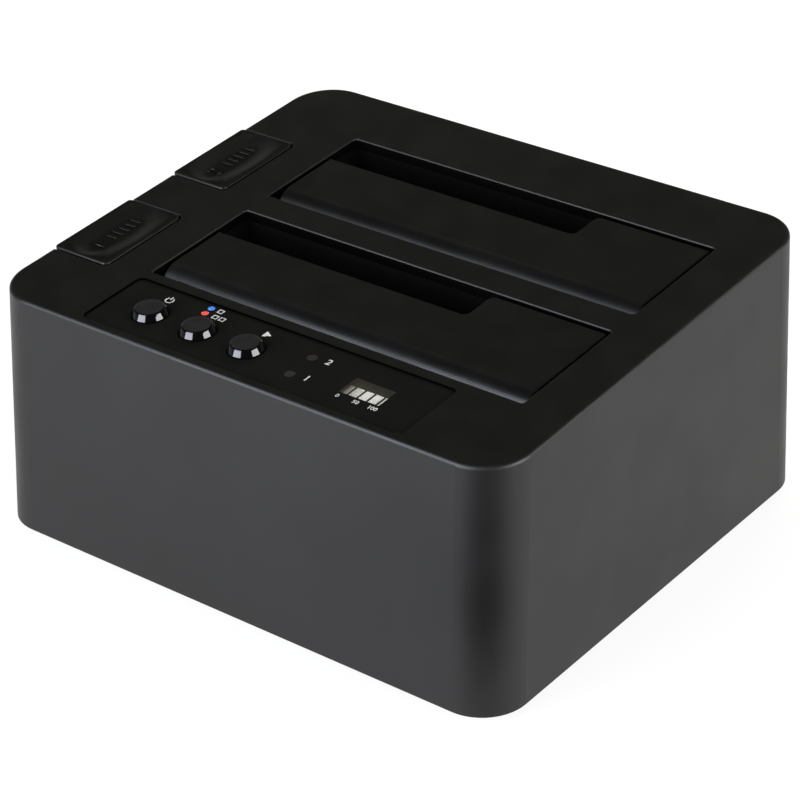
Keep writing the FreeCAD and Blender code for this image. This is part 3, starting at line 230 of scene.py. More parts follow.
class ShaderTree(NodeTree):
    """The nodes of one material around its Principled shader."""

    def __init__(self, name: str) -> None:
        """Start a material.

        Args:
            name: Name of the material.
        """
        self.material = bpy.data.materials.new(name)
        self.material.use_nodes = True
        super().__init__(self.material.node_tree)
        self.shader = self.nodes["Principled BSDF"]
        self._place: Optional[Socket] = None

    def set(self, **inputs: Value) -> None:
        """Feed the shader; an underscore in a name stands for a space."""
        for key, value in inputs.items():
            self.feed(self.shader, key.replace("_", " "), value)

    def place(self) -> Socket:
        """Find the surface's own place.

        Returns:
            The place in metres.
        """
        if self._place is None:
            self._place = self.add("ShaderNodeTexCoord").outputs["Object"]
        return self._place

    def look(self) -> Socket:
        """Give the way that the surface looks."""
        return self.add("ShaderNodeNewGeometry").outputs["Normal"]

    def noise(self, size: float, detail: float = 2.0, stretch: Triple = (1, 1, 1)) -> Socket:
        """Add a cloud pattern.

        Args:
            size: Size of one cloud in millimetres.
            detail: Octaves of finer clouds.
            stretch: Factors on the coordinates, below 1 for a longer pattern.

        Returns:
            The pattern, about 0.3 to 0.7.
        """
        where = self.place()
        if stretch != (1, 1, 1):
            where = self.add("ShaderNodeMapping", {"Vector": where, "Scale": stretch}).outputs[0]
        inputs = {"Vector": where, "Scale": 1 / (size * MM), "Detail": detail}
        return self.add("ShaderNodeTexNoise", inputs).outputs["Fac"]

    def clouds(self, size: float, detail: float = 2.0) -> Socket:
        """Give a cloud pattern that runs from 0 to 1."""
        return self.spread(self.noise(size, detail), 0, 1)

    def tint(self, fac: Value, first: Value, second: Value) -> Socket:
        """Mix two colours by a pattern and give the result."""
        return self.add("ShaderNodeMix", {0: fac, 6: first, 7: second}, data_type="RGBA").outputs[2]

    def tones(self, fac: Value, colour: Colour, span: Pair) -> Socket:
        """Let a colour's brightness follow a pattern, over a span of factors."""
        return self.tint(fac, linear(colour, span[0]), linear(colour, span[1]))

    def maths(self, step: str, first: Value, second: Value) -> Socket:
        """Join two values by one step of arithmetic and give the result."""
        return self.add("ShaderNodeMath", {0: first, 1: second}, operation=step).outputs[0]

    def facing(self, normal: Triple, span: Pair) -> Socket:
        """Tell the faces that look one way from the rest.

        Args:
            normal: The way.
            span: Cosines between which the result rises.

        Returns:
            0 on the other faces, 1 on those that look this way.
        """
        inputs = {0: self.look(), 1: normal}
        turned = self.add("ShaderNodeVectorMath", inputs, operation="DOT_PRODUCT")
        return self.spread(turned.outputs["Value"], 0, 1, span)

    def bump(self, height: Value, depth: float) -> None:
        """Raise the surface by a pattern whose depth is in millimetres."""
        inputs = {"Height": height, "Distance": depth * MM, "Strength": 1.0}
        self.set(Normal=self.add("ShaderNodeBump", inputs).outputs["Normal"])


@dataclass(frozen=True)
class Finish:
    """What a surface is made of and how it is worked."""

    name: str
    colour: Colour

    def material(self) -> Material:
        """Build the finish's material.

        Returns:
            The material, named as the finish.
        """
        tree = ShaderTree(self.name)
        self.paint(tree)
        return tree.material

    def paint(self, tree: ShaderTree) -> None:
        """Feed the shader; each kind of finish has its own way."""
        raise NotImplementedError


@dataclass(frozen=True)
class Moulding(Finish):
    """Moulded plastic: a slightly cloudy colour over the fine grain of an eroded mould.

    Where the sheen factor isn't 1, level faces are matt and painted paler by that factor: a painted sheen
    that stands in for the light their lost gloss reflected. They are told by the cosine
    of their slope, over the span of level.
    """

    roughness: float = 0.5
    grain: float = 0.22
    depth: float = 0.006
    cloud: float = 0.1
    gloss: float = 0.5
    pale: float = 1.0
    level: Pair = (0.9, 0.985)
    cloud_size: float = 9.0
    patch_size: float = 24.0
    uneven: float = 0.04

    def paint(self, tree: ShaderTree) -> None:
        """Lay the cloudy colour, its gloss and the grain.

        Args:
            tree: The material's nodes.
        """
        clouds = tree.clouds(self.cloud_size, detail=3.0)
        colour, gloss = self.shade(tree, self.cloudy(tree, clouds, 1.0))
        # Painted sheen: level faces are painted paler, standing in for the light that their lost gloss
        # reflected.
        if self.pale != 1.0:
            level = tree.facing((0, 0, 1), self.level)
            colour = tree.tint(level, colour, self.cloudy(tree, clouds, self.pale))
            gloss = tree.maths("MULTIPLY", gloss, tree.maths("SUBTRACT", 1.0, level))
        tree.set(Base_Color=colour, Specular_IOR_Level=gloss)
        low, high = self.roughness - self.uneven, self.roughness + self.uneven
        tree.set(Roughness=tree.spread(tree.noise(self.patch_size), low, high))
        tree.bump(tree.noise(self.grain), self.depth)

    def cloudy(self, tree: ShaderTree, clouds: Socket, factor: float) -> Socket:
        """Give the finish's cloudy colour, times a factor."""
        return tree.tones(clouds, self.colour, (factor * (1 - self.cloud), factor * (1 + self.cloud)))

    def shade(self, tree: ShaderTree, colour: Socket) -> Tuple[Socket, Value]:
        """Give the colour and the gloss of standing faces, here from the cloudy colour alone."""
        return colour, self.gloss


@dataclass(frozen=True)
class ShellMoulding(Moulding):
    """Moulded plastic of a shell, with painted shade on the upright walls inside its openings."""

    half_width: float = 60.5
    front: float = -57.0
    back: float = 61.0
    inner: float = 0.1
    upright: Pair = (0.1, 0.45)

    def shade(self, tree: ShaderTree, colour: Socket) -> Tuple[Socket, Value]:
        """Give the colour and gloss, both lower on upright walls inside the outline: painted shade.

        Args:
            tree: The material's nodes.
            colour: The cloudy colour.

        Returns:
            The colour and the gloss level.
        """
        at = tree.split(tree.place())
        rise = tree.split(tree.look())["Z"]
        within = tree.maths("LESS_THAN", tree.maths("ABSOLUTE", at["X"], 0.0), self.half_width * MM)
        for step, limit in (("GREATER_THAN", self.front), ("LESS_THAN", self.back)):
            within = tree.maths("MULTIPLY", within, tree.maths(step, at["Y"], limit * MM))
        # Painted shade: upright walls inside the openings are painted darker and made less glossy,
        # standing in for the shade in the recesses.
        wall = tree.maths("MULTIPLY", within, tree.spread(rise, 1, 0, self.upright))
        gloss = tree.spread(wall, self.gloss, self.gloss * self.inner, (0, 1))
        return tree.tint(wall, colour, linear(self.colour, self.inner)), gloss


@dataclass(frozen=True)
class KeyCap(Finish):
    """A key with a matt top face, in the finish's colour, and a polished flank."""

    flank: Colour
    normal: Triple
    face: Pair = (0.985, 0.995)
    roughness: Pair = (0.07, 0.55)
    gloss: Pair = (0.5, 0.0)
    tone: Pair = (0.9, 1.1)
    cloud_size: float = 3.0
    grain: float = 0.16
    depth: float = 0.006

    def paint(self, tree: ShaderTree) -> None:
        """Tell flank and top apart by which way the surface looks.

        Args:
            tree: The material's nodes.
        """
        face = tree.facing(self.normal, self.face)
        matt = tree.tones(tree.clouds(self.cloud_size, detail=3.0), self.colour, self.tone)
        tree.set(Base_Color=tree.tint(face, linear(self.flank), matt))
        tree.set(Roughness=tree.spread(face, *self.roughness, (0, 1)))
        tree.set(Specular_IOR_Level=tree.spread(face, *self.gloss, (0, 1)))
        tree.bump(tree.maths("MULTIPLY", tree.noise(self.grain), face), self.depth)


@dataclass(frozen=True)
class Metal(Finish):
    """Bright or plated metal with drawn lines."""

    roughness: float = 0.3
    lines: Triple = (1, 1, 1)
    line_size: float = 0.4
    tone: Pair = (0.82, 1.05)
    uneven: Pair = (-0.08, 0.1)
    depth: float = 0.004

    def paint(self, tree: ShaderTree) -> None:
        """Let colour, roughness and height follow the lines.

        Args:
            tree: The material's nodes.
        """
        marks = tree.noise(self.line_size, detail=3.0, stretch=self.lines)
        tree.set(Base_Color=tree.tones(tree.spread(marks, 0, 1), self.colour, self.tone), Metallic=1.0)
        low, high = (self.roughness + step for step in self.uneven)
        tree.set(Roughness=tree.spread(marks, low, high))
        tree.bump(marks, self.depth)


@dataclass(frozen=True)
class SmokedWindow(Finish):
    """Clear plastic over the light bars, tinted on its face and clear at its edges."""

    cover: float
    normal: Triple
    face: Pair = (0.9, 0.95)
    tone: Pair = (0.92, 1.08)
    cloud_size: float = 2.5
    roughness: Pair = (0.16, 0.24)
    patch_size: float = 4.0
    wave: float = 1.2
    depth: float = 0.002

    def paint(self, tree: ShaderTree) -> None:
        """Tint the window, see-through by its alpha.

        Args:
            tree: The material's nodes.
        """
        tree.set(Base_Color=tree.tones(tree.clouds(self.cloud_size), self.colour, self.tone))
        tree.set(Roughness=tree.spread(tree.noise(self.patch_size), *self.roughness))
        tree.set(Alpha=tree.maths("MULTIPLY", tree.facing(self.normal, self.face), self.cover))
        tree.bump(tree.noise(self.wave, detail=1.0), self.depth)


@dataclass(frozen=True)
class LightBars(Finish):
    """White diffusing bars with dark sides, of which the first stands deeper in the shade."""

    dim: Colour
    side: Colour
    rise: Pair
    normal: Triple
    face: Pair = (0.9, 0.95)
    tone: Pair = (0.9, 1.0)
    cloud_size: float = 0.8
    roughness: Pair = (0.45, 0.6)
    patch_size: float = 0.5
    grain: float = 0.3
    depth: float = 0.004

    def paint(self, tree: ShaderTree) -> None:
        """Let the bars grow lighter along their row, and dark off their face.

        Args:
            tree: The material's nodes.
        """
        later = tree.spread(tree.split(tree.place())["X"], 0, 1, self.rise)
        white = tree.tones(tree.clouds(self.cloud_size), self.colour, self.tone)
        row = tree.tint(later, linear(self.dim), white)
        tree.set(Base_Color=tree.tint(tree.facing(self.normal, self.face), linear(self.side), row))
        tree.set(Roughness=tree.spread(tree.noise(self.patch_size), *self.roughness))
        tree.bump(tree.noise(self.grain), self.depth)


@dataclass(frozen=True)
class BoardLacquer(Finish):
    """Circuit board lacquer, with the tracks under it standing slightly proud."""

    cell: float = 2.2
    track: Pair = (0.04, 0.1)
    tone: Pair = (1.35, 1.0)
    roughness: Pair = (0.28, 0.42)
    patch_size: float = 3.0
    depth: float = 0.02

    def paint(self, tree: ShaderTree) -> None:
        """Draw the tracks between square cells.

        Args:
            tree: The material's nodes.
        """
        inputs = {"Vector": tree.place(), "Scale": 1 / (self.cell * MM)}
        cells = tree.add("ShaderNodeTexVoronoi", inputs, distance="MANHATTAN", feature="DISTANCE_TO_EDGE")
        tracks = tree.spread(cells.outputs["Distance"], 0, 1, self.track)
        tree.set(Base_Color=tree.tones(tracks, self.colour, self.tone))
        tree.set(Roughness=tree.spread(tree.noise(self.patch_size), *self.roughness))
        tree.bump(tracks, self.depth)


@dataclass(frozen=True)
class DeckPlane:
    """The tilted plane on top of a piece."""

    normal: Vector
    point: Vector

    @classmethod
    def over(cls, node: str) -> "DeckPlane":
        """Find the plane that touches a piece from above, square to the way the keys move."""
        normal = -Vector(joint("power_press")["axis"]).normalized()
        return cls(normal, max(corners(node), key=normal.dot).copy())

    def span(self, node: str) -> Tuple[float, float]:
        """Give how far a piece reaches below and above the plane, in metres."""
        heights = [self.normal.dot(corner - self.point) for corner in corners(node)]
        return min(heights), max(heights)

    def middle(self, node: str) -> Place:
        """Find where the middle of a piece's flat top lies on the plane.

        Args:
            node: Name of the piece.

        Returns:
            The plan place in millimetres, square under that middle.
        """
        rise = self.span(node)[1]
        tops = [at for at in corners(node) if self.normal.dot(at - self.point) > rise - TOUCH]
        foot = Vector([(min(row) + max(row)) / 2 for row in zip(*tops)]) - self.normal * rise
        return foot.x / MM, foot.y / MM

    def place(self, where: Place, rise: float = 0.0) -> Matrix:
        """Give the matrix that lays a flat mark on the plane.

        Args:
            where: Plan place in millimetres.
            rise: Height over the plane in millimetres.

        Returns:
            The matrix, with the mark's X along the front and its Z along the normal.
        """
        x, y = where[0] * MM, where[1] * MM
        along = Vector((0, self.normal.z, -self.normal.y))
        z = self.point.z - (y - self.point.y) * self.normal.y / self.normal.z
        origin = Vector((x, y, z)) + self.normal * rise * MM
        lie = Matrix((Vector((1, 0, 0)), along, self.normal)).transposed().to_4x4()
        return Matrix.Translation(origin) @ lie


class Bench:
    """Operator steps that all the modelled pieces share."""

    DIGIT_SHARE = 0.7       # a digit's height in the font's size
    DIGIT_FLESH = 0.012     # added to a digit's strokes, by its height
    DIGIT_STEPS = 5

    @staticmethod
    def clear() -> None:
        """Leave edit mode and deselect everything."""
        if bpy.context.object and bpy.context.object.mode != "OBJECT":
            bpy.ops.object.mode_set(mode="OBJECT")
        bpy.ops.object.select_all(action="DESELECT")

    @staticmethod
    def hold(piece: Piece) -> None:
        """Select one piece alone and make it active.

        Args:
            piece: The piece.
        """
        Bench.clear()
        piece.select_set(True)
        bpy.context.view_layer.objects.active = piece

    @staticmethod
    def open() -> None:
        """Open the active piece for editing."""
        bpy.ops.object.mode_set(mode="EDIT")

    @staticmethod
    def close() -> Piece:
        """Close the piece that is being edited and give it."""
        bpy.ops.object.mode_set(mode="OBJECT")
        return bpy.context.object

    @staticmethod
    def block(size: Triple) -> None:
        """Add a box around the origin and open it.

        Args:
            size: Its sides in millimetres.
        """
        Bench.clear()
        bpy.ops.mesh.primitive_cube_add(size=1.0, scale=[side * MM for side in size])
        bpy.ops.object.transform_apply(location=False, rotation=False, scale=True)
        Bench.open()

    @staticmethod
    def rod(radius: float, low: float, high: float, facets: int) -> None:
        """Add an upright cylinder and open it.

        Args:
            radius: Its radius in millimetres.
            low: Height of its lower end in metres.
            high: Height of its upper end in metres.
            facets: Faces around it.
        """
        Bench.clear()
        depth = high - low
        bpy.ops.mesh.primitive_cylinder_add(
            vertices=facets, radius=radius * MM, depth=depth, location=(0, 0, low + depth / 2))
        bpy.ops.object.transform_apply(location=True, rotation=False, scale=False)
        Bench.open()

    @staticmethod
    def disc(radius: float, facets: int, filled: bool = True, turn: float = 0.0) -> None:
        """Add a flat disc around the origin and open it.

        Args:
            radius: Its radius in millimetres.
            facets: Corners around it.
            filled: Whether it has a face, or only its rim.
            turn: Turn in its plane, in radians.
        """
        Bench.clear()
        fill = "NGON" if filled else "NOTHING"
        bpy.ops.mesh.primitive_circle_add(
            vertices=facets, radius=radius * MM, fill_type=fill, rotation=(0, 0, turn))
        Bench.open()

    @staticmethod
    def grow(rise: float, share: float) -> None:
        """Extrude what is selected upwards and scale its end by a share."""
        bpy.ops.mesh.extrude_region_move(TRANSFORM_OT_translate={"value": (0, 0, rise)})
        bpy.ops.transform.resize(value=(share, share, 1))

    @staticmethod
    def smooth(piece: Piece, angle: float) -> None:
        """Shade a piece smoothly across edges up to an angle in degrees."""
        Bench.hold(piece)
        bpy.ops.object.shade_smooth_by_angle(angle=math.radians(angle))

    @staticmethod
    def copy(node: str, name: str) -> Piece:
        """Copy a piece of the frame and weld its loose triangles.

        Args:
            node: The piece of the frame.
            name: Name of the copy.

        Returns:
            The copy, active and in object mode.
        """
        Bench.hold(stand(name, frame["nodes"][node].data.copy()))
        bpy.ops.mesh.customdata_custom_splitnormals_clear()
        Bench.open()
        bpy.ops.mesh.select_all(action="SELECT")
        bpy.ops.mesh.remove_doubles(threshold=TOUCH)
        return Bench.close()

    @staticmethod
    def pick(kind: Part, test: Callable[[Vector], bool]) -> None:
        """Select faces, edges or corners of the open piece by their place.

        Args:
            kind: What is selected.
            test: Says for a middle point whether its element is taken.
        """
        bpy.ops.mesh.select_mode(type=kind.value)
        bpy.ops.mesh.select_all(action="DESELECT")
        mesh = bmesh.from_edit_mesh(bpy.context.object.data)
        if kind is Part.FACES:
            rows = [(face, face.calc_center_median()) for face in mesh.faces]
        elif kind is Part.EDGES:
            rows = [(edge, (edge.verts[0].co + edge.verts[1].co) / 2) for edge in mesh.edges]
        else:
            rows = [(corner, corner.co) for corner in mesh.verts]
        for element, middle in rows:
            if test(middle):
                element.select_set(True)
        bmesh.update_edit_mesh(bpy.context.object.data)

    @staticmethod
    def finish(piece: Piece, kind: str, **settings: object) -> None:
        """Add a modifier and apply it.

        Args:
            piece: The piece that is finished.
            kind: Blender's name of the modifier type.
            settings: Properties of the modifier.
        """
        Bench.hold(piece)
        step = piece.modifiers.new(kind.title(), kind)
        for key, value in settings.items():
            setattr(step, key, value)
        bpy.ops.object.modifier_apply(modifier=step.name)

    @staticmethod
    def settle(piece: Piece, name: str, place: Matrix, finish: Material) -> Piece:
        """Name a piece, put its place into its mesh and dress it.

        Args:
            piece: The finished piece, made around the origin.
            name: Its name.
            place: Where it goes.
            finish: Its material.

        Returns:
            The same piece.
        """
        Bench.hold(piece)
        piece.name = name
        piece.data.name = name
        piece.matrix_world = place @ piece.matrix_world
        bpy.ops.object.transform_apply(location=True, rotation=True, scale=True)
        piece.data.materials.clear()
        piece.data.materials.append(finish)
        return piece

    @staticmethod
    def numeral(text: str, height: float, thick: float) -> Piece:
        """Make a plain numeral as a closed mesh around the origin.

        Args:
            text: The digits.
            height: Height of a digit in millimetres.
            thick: Thickness in millimetres.

        Returns:
            The mesh piece, its lower face at the origin's height.
        """
        Bench.clear()
        bpy.ops.object.text_add()
        digits = bpy.context.object.data
        digits.body = text
        digits.size = height * MM / Bench.DIGIT_SHARE
        digits.align_x = "CENTER"
        digits.align_y = "CENTER"
        digits.resolution_u = Bench.DIGIT_STEPS
        digits.offset = height * MM * Bench.DIGIT_FLESH
        digits.extrude = thick * MM / 2
        bpy.ops.object.convert(target="MESH")
        Bench.hold(bpy.context.object)
        Bench.open()
        bpy.ops.mesh.select_all(action="SELECT")
        bpy.ops.mesh.remove_doubles(threshold=HAIR)
        bpy.ops.mesh.normals_make_consistent(inside=False)
        bpy.ops.transform.translate(value=(0, 0, thick * MM / 2))
        return Bench.close()


@dataclass
class PanelPrint:
    """Printed signs and numerals on the control panel."""

    plane: DeckPlane
    ink: Material
    blue: Material
    red: Material
    thick: float = 0.04
    power_at: Place = (-32.8, -39.9)
    ring_radius: float = 1.15
    ring_facets: int = 60
    line: float = 0.34
    half_gap: float = 36.0
    stroke_at: float = 0.75
    stroke_stretch: float = 3.6
    stroke_soften: float = 0.4
    start_at: Place = (-4.6, -39.6)
    triangle_radius: float = 1.3
    triangle_soften: float = 0.2
    dots_at: Tuple[Place, Place] = ((-22.33, -37.65), (-22.23, -39.95))
    dot_radius: float = 0.85
    dot_facets: int = 40
    dot_rim: Pair = (0.16, 0.012)
    icons_at: Tuple[Place, Place] = ((-19.6, -37.6), (-19.2, -40.0))
    square: float = 1.5
    square_line: float = 0.26
    square_step: float = 2.0
    lights_at: Tuple[Place, Place] = ((14.2, -48.9), (14.3, -41.4))
    light_height: float = 2.0
    scale_at: Tuple[Place, Place, Place] = ((23.9, -50.6), (28.8, -50.6), (33.3, -50.6))
    scale_text: Tuple[str, str, str] = ("0", "50", "100")
    scale_height: float = 1.15

    def lay(self, piece: Piece, name: str, where: Place, ink: Material) -> None:
        """Lay a finished mark on the panel, a quarter of its thickness deep, and let it ride along.

        Args:
            piece: The mark, flat around the origin.
            name: Its name.
            where: Plan place in millimetres.
            ink: Its colour.
        """
        Bench.settle(piece, name, self.plane.place(where, -self.thick / 4), ink)
        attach(piece, "base")
        LOG.info("printed %s", name)

    def thicken(self, piece: Piece) -> Piece:
        """Give a flat mark the thickness of its ink and return it."""
        Bench.finish(piece, "SOLIDIFY", thickness=self.thick * MM, offset=1.0)
        return piece

    def power_sign(self) -> None:
        """An open ring with a stroke in its gap."""
        ring, width, gap = self.ring_radius * MM, self.line * MM, math.radians(self.half_gap)
        Bench.disc(self.ring_radius, self.ring_facets, filled=False)
        bpy.ops.mesh.extrude_edges_move()
        share = (ring - width) / ring
        bpy.ops.transform.resize(value=(share, share, 1))
        Bench.pick(Part.FACES, lambda at: abs(math.atan2(at.x, at.y)) < gap)
        bpy.ops.mesh.delete(type="FACE")
        bpy.ops.mesh.primitive_plane_add(size=width, location=(0, self.stroke_at * ring, 0))
        bpy.ops.transform.resize(value=(1, self.stroke_stretch, 1))
        bpy.ops.mesh.bevel(offset=width * self.stroke_soften, segments=4, affect="VERTICES")
        bpy.ops.mesh.select_all(action="SELECT")
        bpy.ops.mesh.normals_make_consistent(inside=False)
        self.lay(self.thicken(Bench.close()), "power_sign", self.power_at, self.ink)

    def start_sign(self) -> None:
        """A triangle with rounded corners that points to the right."""
        Bench.disc(self.triangle_radius, 3, turn=-math.pi / 2)
        bpy.ops.mesh.bevel(offset=self.triangle_soften * MM, segments=4, affect="VERTICES")
        self.lay(self.thicken(Bench.close()), "start_sign", self.start_at, self.ink)

    def mode_dots(self) -> None:
        """A blue and a red dot with a slightly raised middle."""
        rim, raised = (size * MM for size in self.dot_rim)
        Bench.disc(self.dot_radius, self.dot_facets)
        bpy.ops.mesh.inset(thickness=rim, depth=raised)
        first = self.thicken(Bench.close())
        for count, (where, ink) in enumerate(zip(self.dots_at, (self.blue, self.red)), 1):
            name = f"mode_dot_{count}"
            self.lay(stand(name, first.data.copy()), name, where, ink)
        bpy.data.objects.remove(first)

    def mode_icons(self) -> None:
        """One square frame for the single mode, two for the copying mode."""
        for count, where in enumerate(self.icons_at, 1):
            Bench.clear()
            bpy.ops.mesh.primitive_plane_add(size=self.square * MM)
            Bench.open()
            bpy.ops.mesh.inset(thickness=self.square_line * MM)
            bpy.ops.mesh.delete(type="FACE")
            if count == 2:
                bpy.ops.mesh.select_all(action="SELECT")
                step = {"value": (self.square_step * MM, 0, 0)}
                bpy.ops.mesh.duplicate_move(TRANSFORM_OT_translate=step)
            self.lay(self.thicken(Bench.close()), f"mode_icon_{count}", where, self.ink)

    def numerals(self) -> None:
        """Numbers of the two drive lights and of the progress scale."""
        for count, where in enumerate(self.lights_at, 1):
            digit = Bench.numeral(str(count), self.light_height, self.thick)
            self.lay(digit, f"light_numeral_{count}", where, self.ink)
        for text, where in zip(self.scale_text, self.scale_at):
            digits = Bench.numeral(text, self.scale_height, self.thick)
            self.lay(digits, f"scale_numeral_{text}", where, self.ink)

    def build(self) -> None:
        """Print all the marks."""
        self.power_sign()
        self.start_sign()
        self.mode_dots()
        self.mode_icons()
        self.numerals()


@dataclass
class PushKeys:
    """Round keys: a stem and a flange under the panel, a polished conical flank and a flat top."""

    panel: DeckPlane
    finish: Material
    names: Tuple[str, ...] = ("power", "mode", "start")
    facets: int = 72
    stem_radius: float = 2.2
    flange_radius: float = 4.95
    flange_span: Pair = (-1.75, -0.95)
    base_radius: float = 4.25
    upright: float = 0.3
    top_radius: float = 3.45
    soften: float = 0.3
    support: float = 0.06
    smooth: float = 22.0

    def key(self, low: float, rise: float) -> Piece:
        """Model a key around the origin, which lies on the panel's face.

        Args:
            low: Height of the stem's end in metres, below zero.
            rise: Height of the flat top in metres.

        Returns:
            The key.
        """
        flange_low, flange_top = (height * MM for height in self.flange_span)
        Bench.rod(self.stem_radius, low, flange_low, self.facets)
        Bench.pick(Part.FACES, lambda at: at.z > flange_low - TOUCH)
        rings = ((self.flange_radius, flange_low), (self.flange_radius, flange_top),
                 (self.base_radius, flange_top), (self.base_radius, self.upright * MM),
                 (self.top_radius, rise))
        radius, height = self.stem_radius, flange_low
        for wide, high in rings:
            Bench.grow(high - height, wide / radius)
            radius, height = wide, high
        Bench.pick(Part.EDGES, lambda at: at.z > rise - TOUCH)
        bpy.ops.mesh.bevel(offset=self.soften * MM, segments=5)
        Bench.pick(Part.FACES, lambda at: at.z > rise - TOUCH)
        bpy.ops.mesh.inset(thickness=self.support * MM)
        key = Bench.close()
        Bench.smooth(key, self.smooth)
        return key

    def build(self) -> None:
        """Set a key in each hole of the panel and let it move with its joint."""
        for name in self.names:
            node = f"{name}_button"
            key = self.key(*self.panel.span(node))
            Bench.settle(key, f"{name}_key_cap", self.panel.place(self.panel.middle(node)), self.finish)
            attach(key, f"{name}_key")
            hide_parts(node)
            LOG.info("set %s", key.name)


@dataclass
class EjectCaps:
    """Eject buttons whose tops have a soft hollow for the finger."""

    finish: Material
    top_reach: Triple = (6.7, 12.0, 1.2)
    spacing: float = 0.6
    rim_cuts: Tuple[int, int] = (8, 2)
    margin: float = 0.5
    slope: float = 5.2
    depth: float = 0.75
    steps: int = 12
    rounding: float = 0.17
    smooth: float = 25.0

    def cap(self, node: str, name: str) -> Piece:
        """Copy a button and press the hollow into its top.

        Args:
            node: The button of the frame.
            name: Name of the new piece.

        Returns:
            The new piece, in its place.
        """
        top = DeckPlane.over(node)
        place = top.place(top.middle(node))
        piece = Bench.copy(node, name)
        piece.matrix_world = place.inverted()
        bpy.ops.object.transform_apply(location=True, rotation=True, scale=True)
        Bench.open()
        Bench.pick(Part.FACES, self.on_top)
        bpy.ops.mesh.delete(type="FACE")
        self.close_top()
        self.press()
        Bench.close()
        Bench.settle(piece, name, place, self.finish)
        Bench.smooth(piece, self.smooth)
        return piece

    def on_top(self, at: Vector) -> bool:
        """Say whether a face of the levelled button belongs to its top, inside the rounded rim."""
        wide, long, deep = (reach * MM for reach in self.top_reach)
        return at.z > -TOUCH / 2 or (at.z > -deep and abs(at.x) < wide and abs(at.y) < long)

    def pick_rim(self) -> None:
        """Select the edges of the open rim."""
        bpy.ops.mesh.select_mode(type="EDGE")
        bpy.ops.mesh.select_all(action="DESELECT")
        bpy.ops.mesh.select_non_manifold(use_wire=False, use_multi_face=False,
                                         use_non_contiguous=False, use_verts=False)

    def close_top(self) -> None:
        """Divide the open rim evenly and close it by one face, which stays selected."""
        for cuts in self.rim_cuts:
            self.pick_rim()
            mesh = bmesh.from_edit_mesh(bpy.context.object.data)
            for edge in mesh.edges:
                if edge.select and edge.calc_length() < (cuts + 1) * self.spacing * MM:
                    edge.select_set(False)
            bmesh.update_edit_mesh(bpy.context.object.data)
            bpy.ops.mesh.subdivide(number_cuts=cuts)
        self.pick_rim()
        bpy.ops.mesh.edge_face_add()

    def press(self) -> None:
        """Sink the selected face in rings that follow its outline and grow rounder."""
        mesh = bmesh.from_edit_mesh(bpy.context.object.data)
        rim = [corner.co for corner in mesh.verts if corner.select]
        spans = [(min(row), max(row)) for row in zip(*rim)]
        middle = [(low + high) / 2 for low, high in spans]
        half_x, half_y = ((high - low) / 2 for low, high in spans[:2])
        sunk, share_x, share_y = 0.0, 1.0, 1.0
        for step in range(self.steps + 1):
            part = step / self.steps
            inset = (self.margin + self.slope * part) * MM
            depth = self.depth * MM * (1 - math.cos(math.pi * part)) / 2
            next_x, next_y = 1 - inset / half_x, 1 - inset / half_y
            bpy.ops.mesh.extrude_region_move(TRANSFORM_OT_translate={"value": (0, 0, sunk - depth)})
            bpy.ops.transform.resize(value=(next_x / share_x, next_y / share_y, 1), center_override=middle)
            square = (half_x * next_x) / (half_y * next_y)
            bpy.ops.transform.resize(value=(1, square, 1), center_override=middle)
            bpy.ops.transform.tosphere(value=self.rounding, center_override=(middle[0], middle[1], -depth))
            bpy.ops.transform.resize(value=(1, 1 / square, 1), center_override=middle)
            sunk, share_x, share_y = depth, next_x, next_y

    def build(self) -> Dict[str, Piece]:
        """Model both buttons and let them move with their joints.

        Returns:
            The buttons by side.
        """
        caps = {}
        for side in SIDES:
            node = f"{side}_eject_button"
            caps[side] = self.cap(node, f"{side}_eject_cap")
            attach(caps[side], f"{side}_eject")
            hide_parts(node)
            LOG.info("pressed the hollow of %s", node)
        return caps


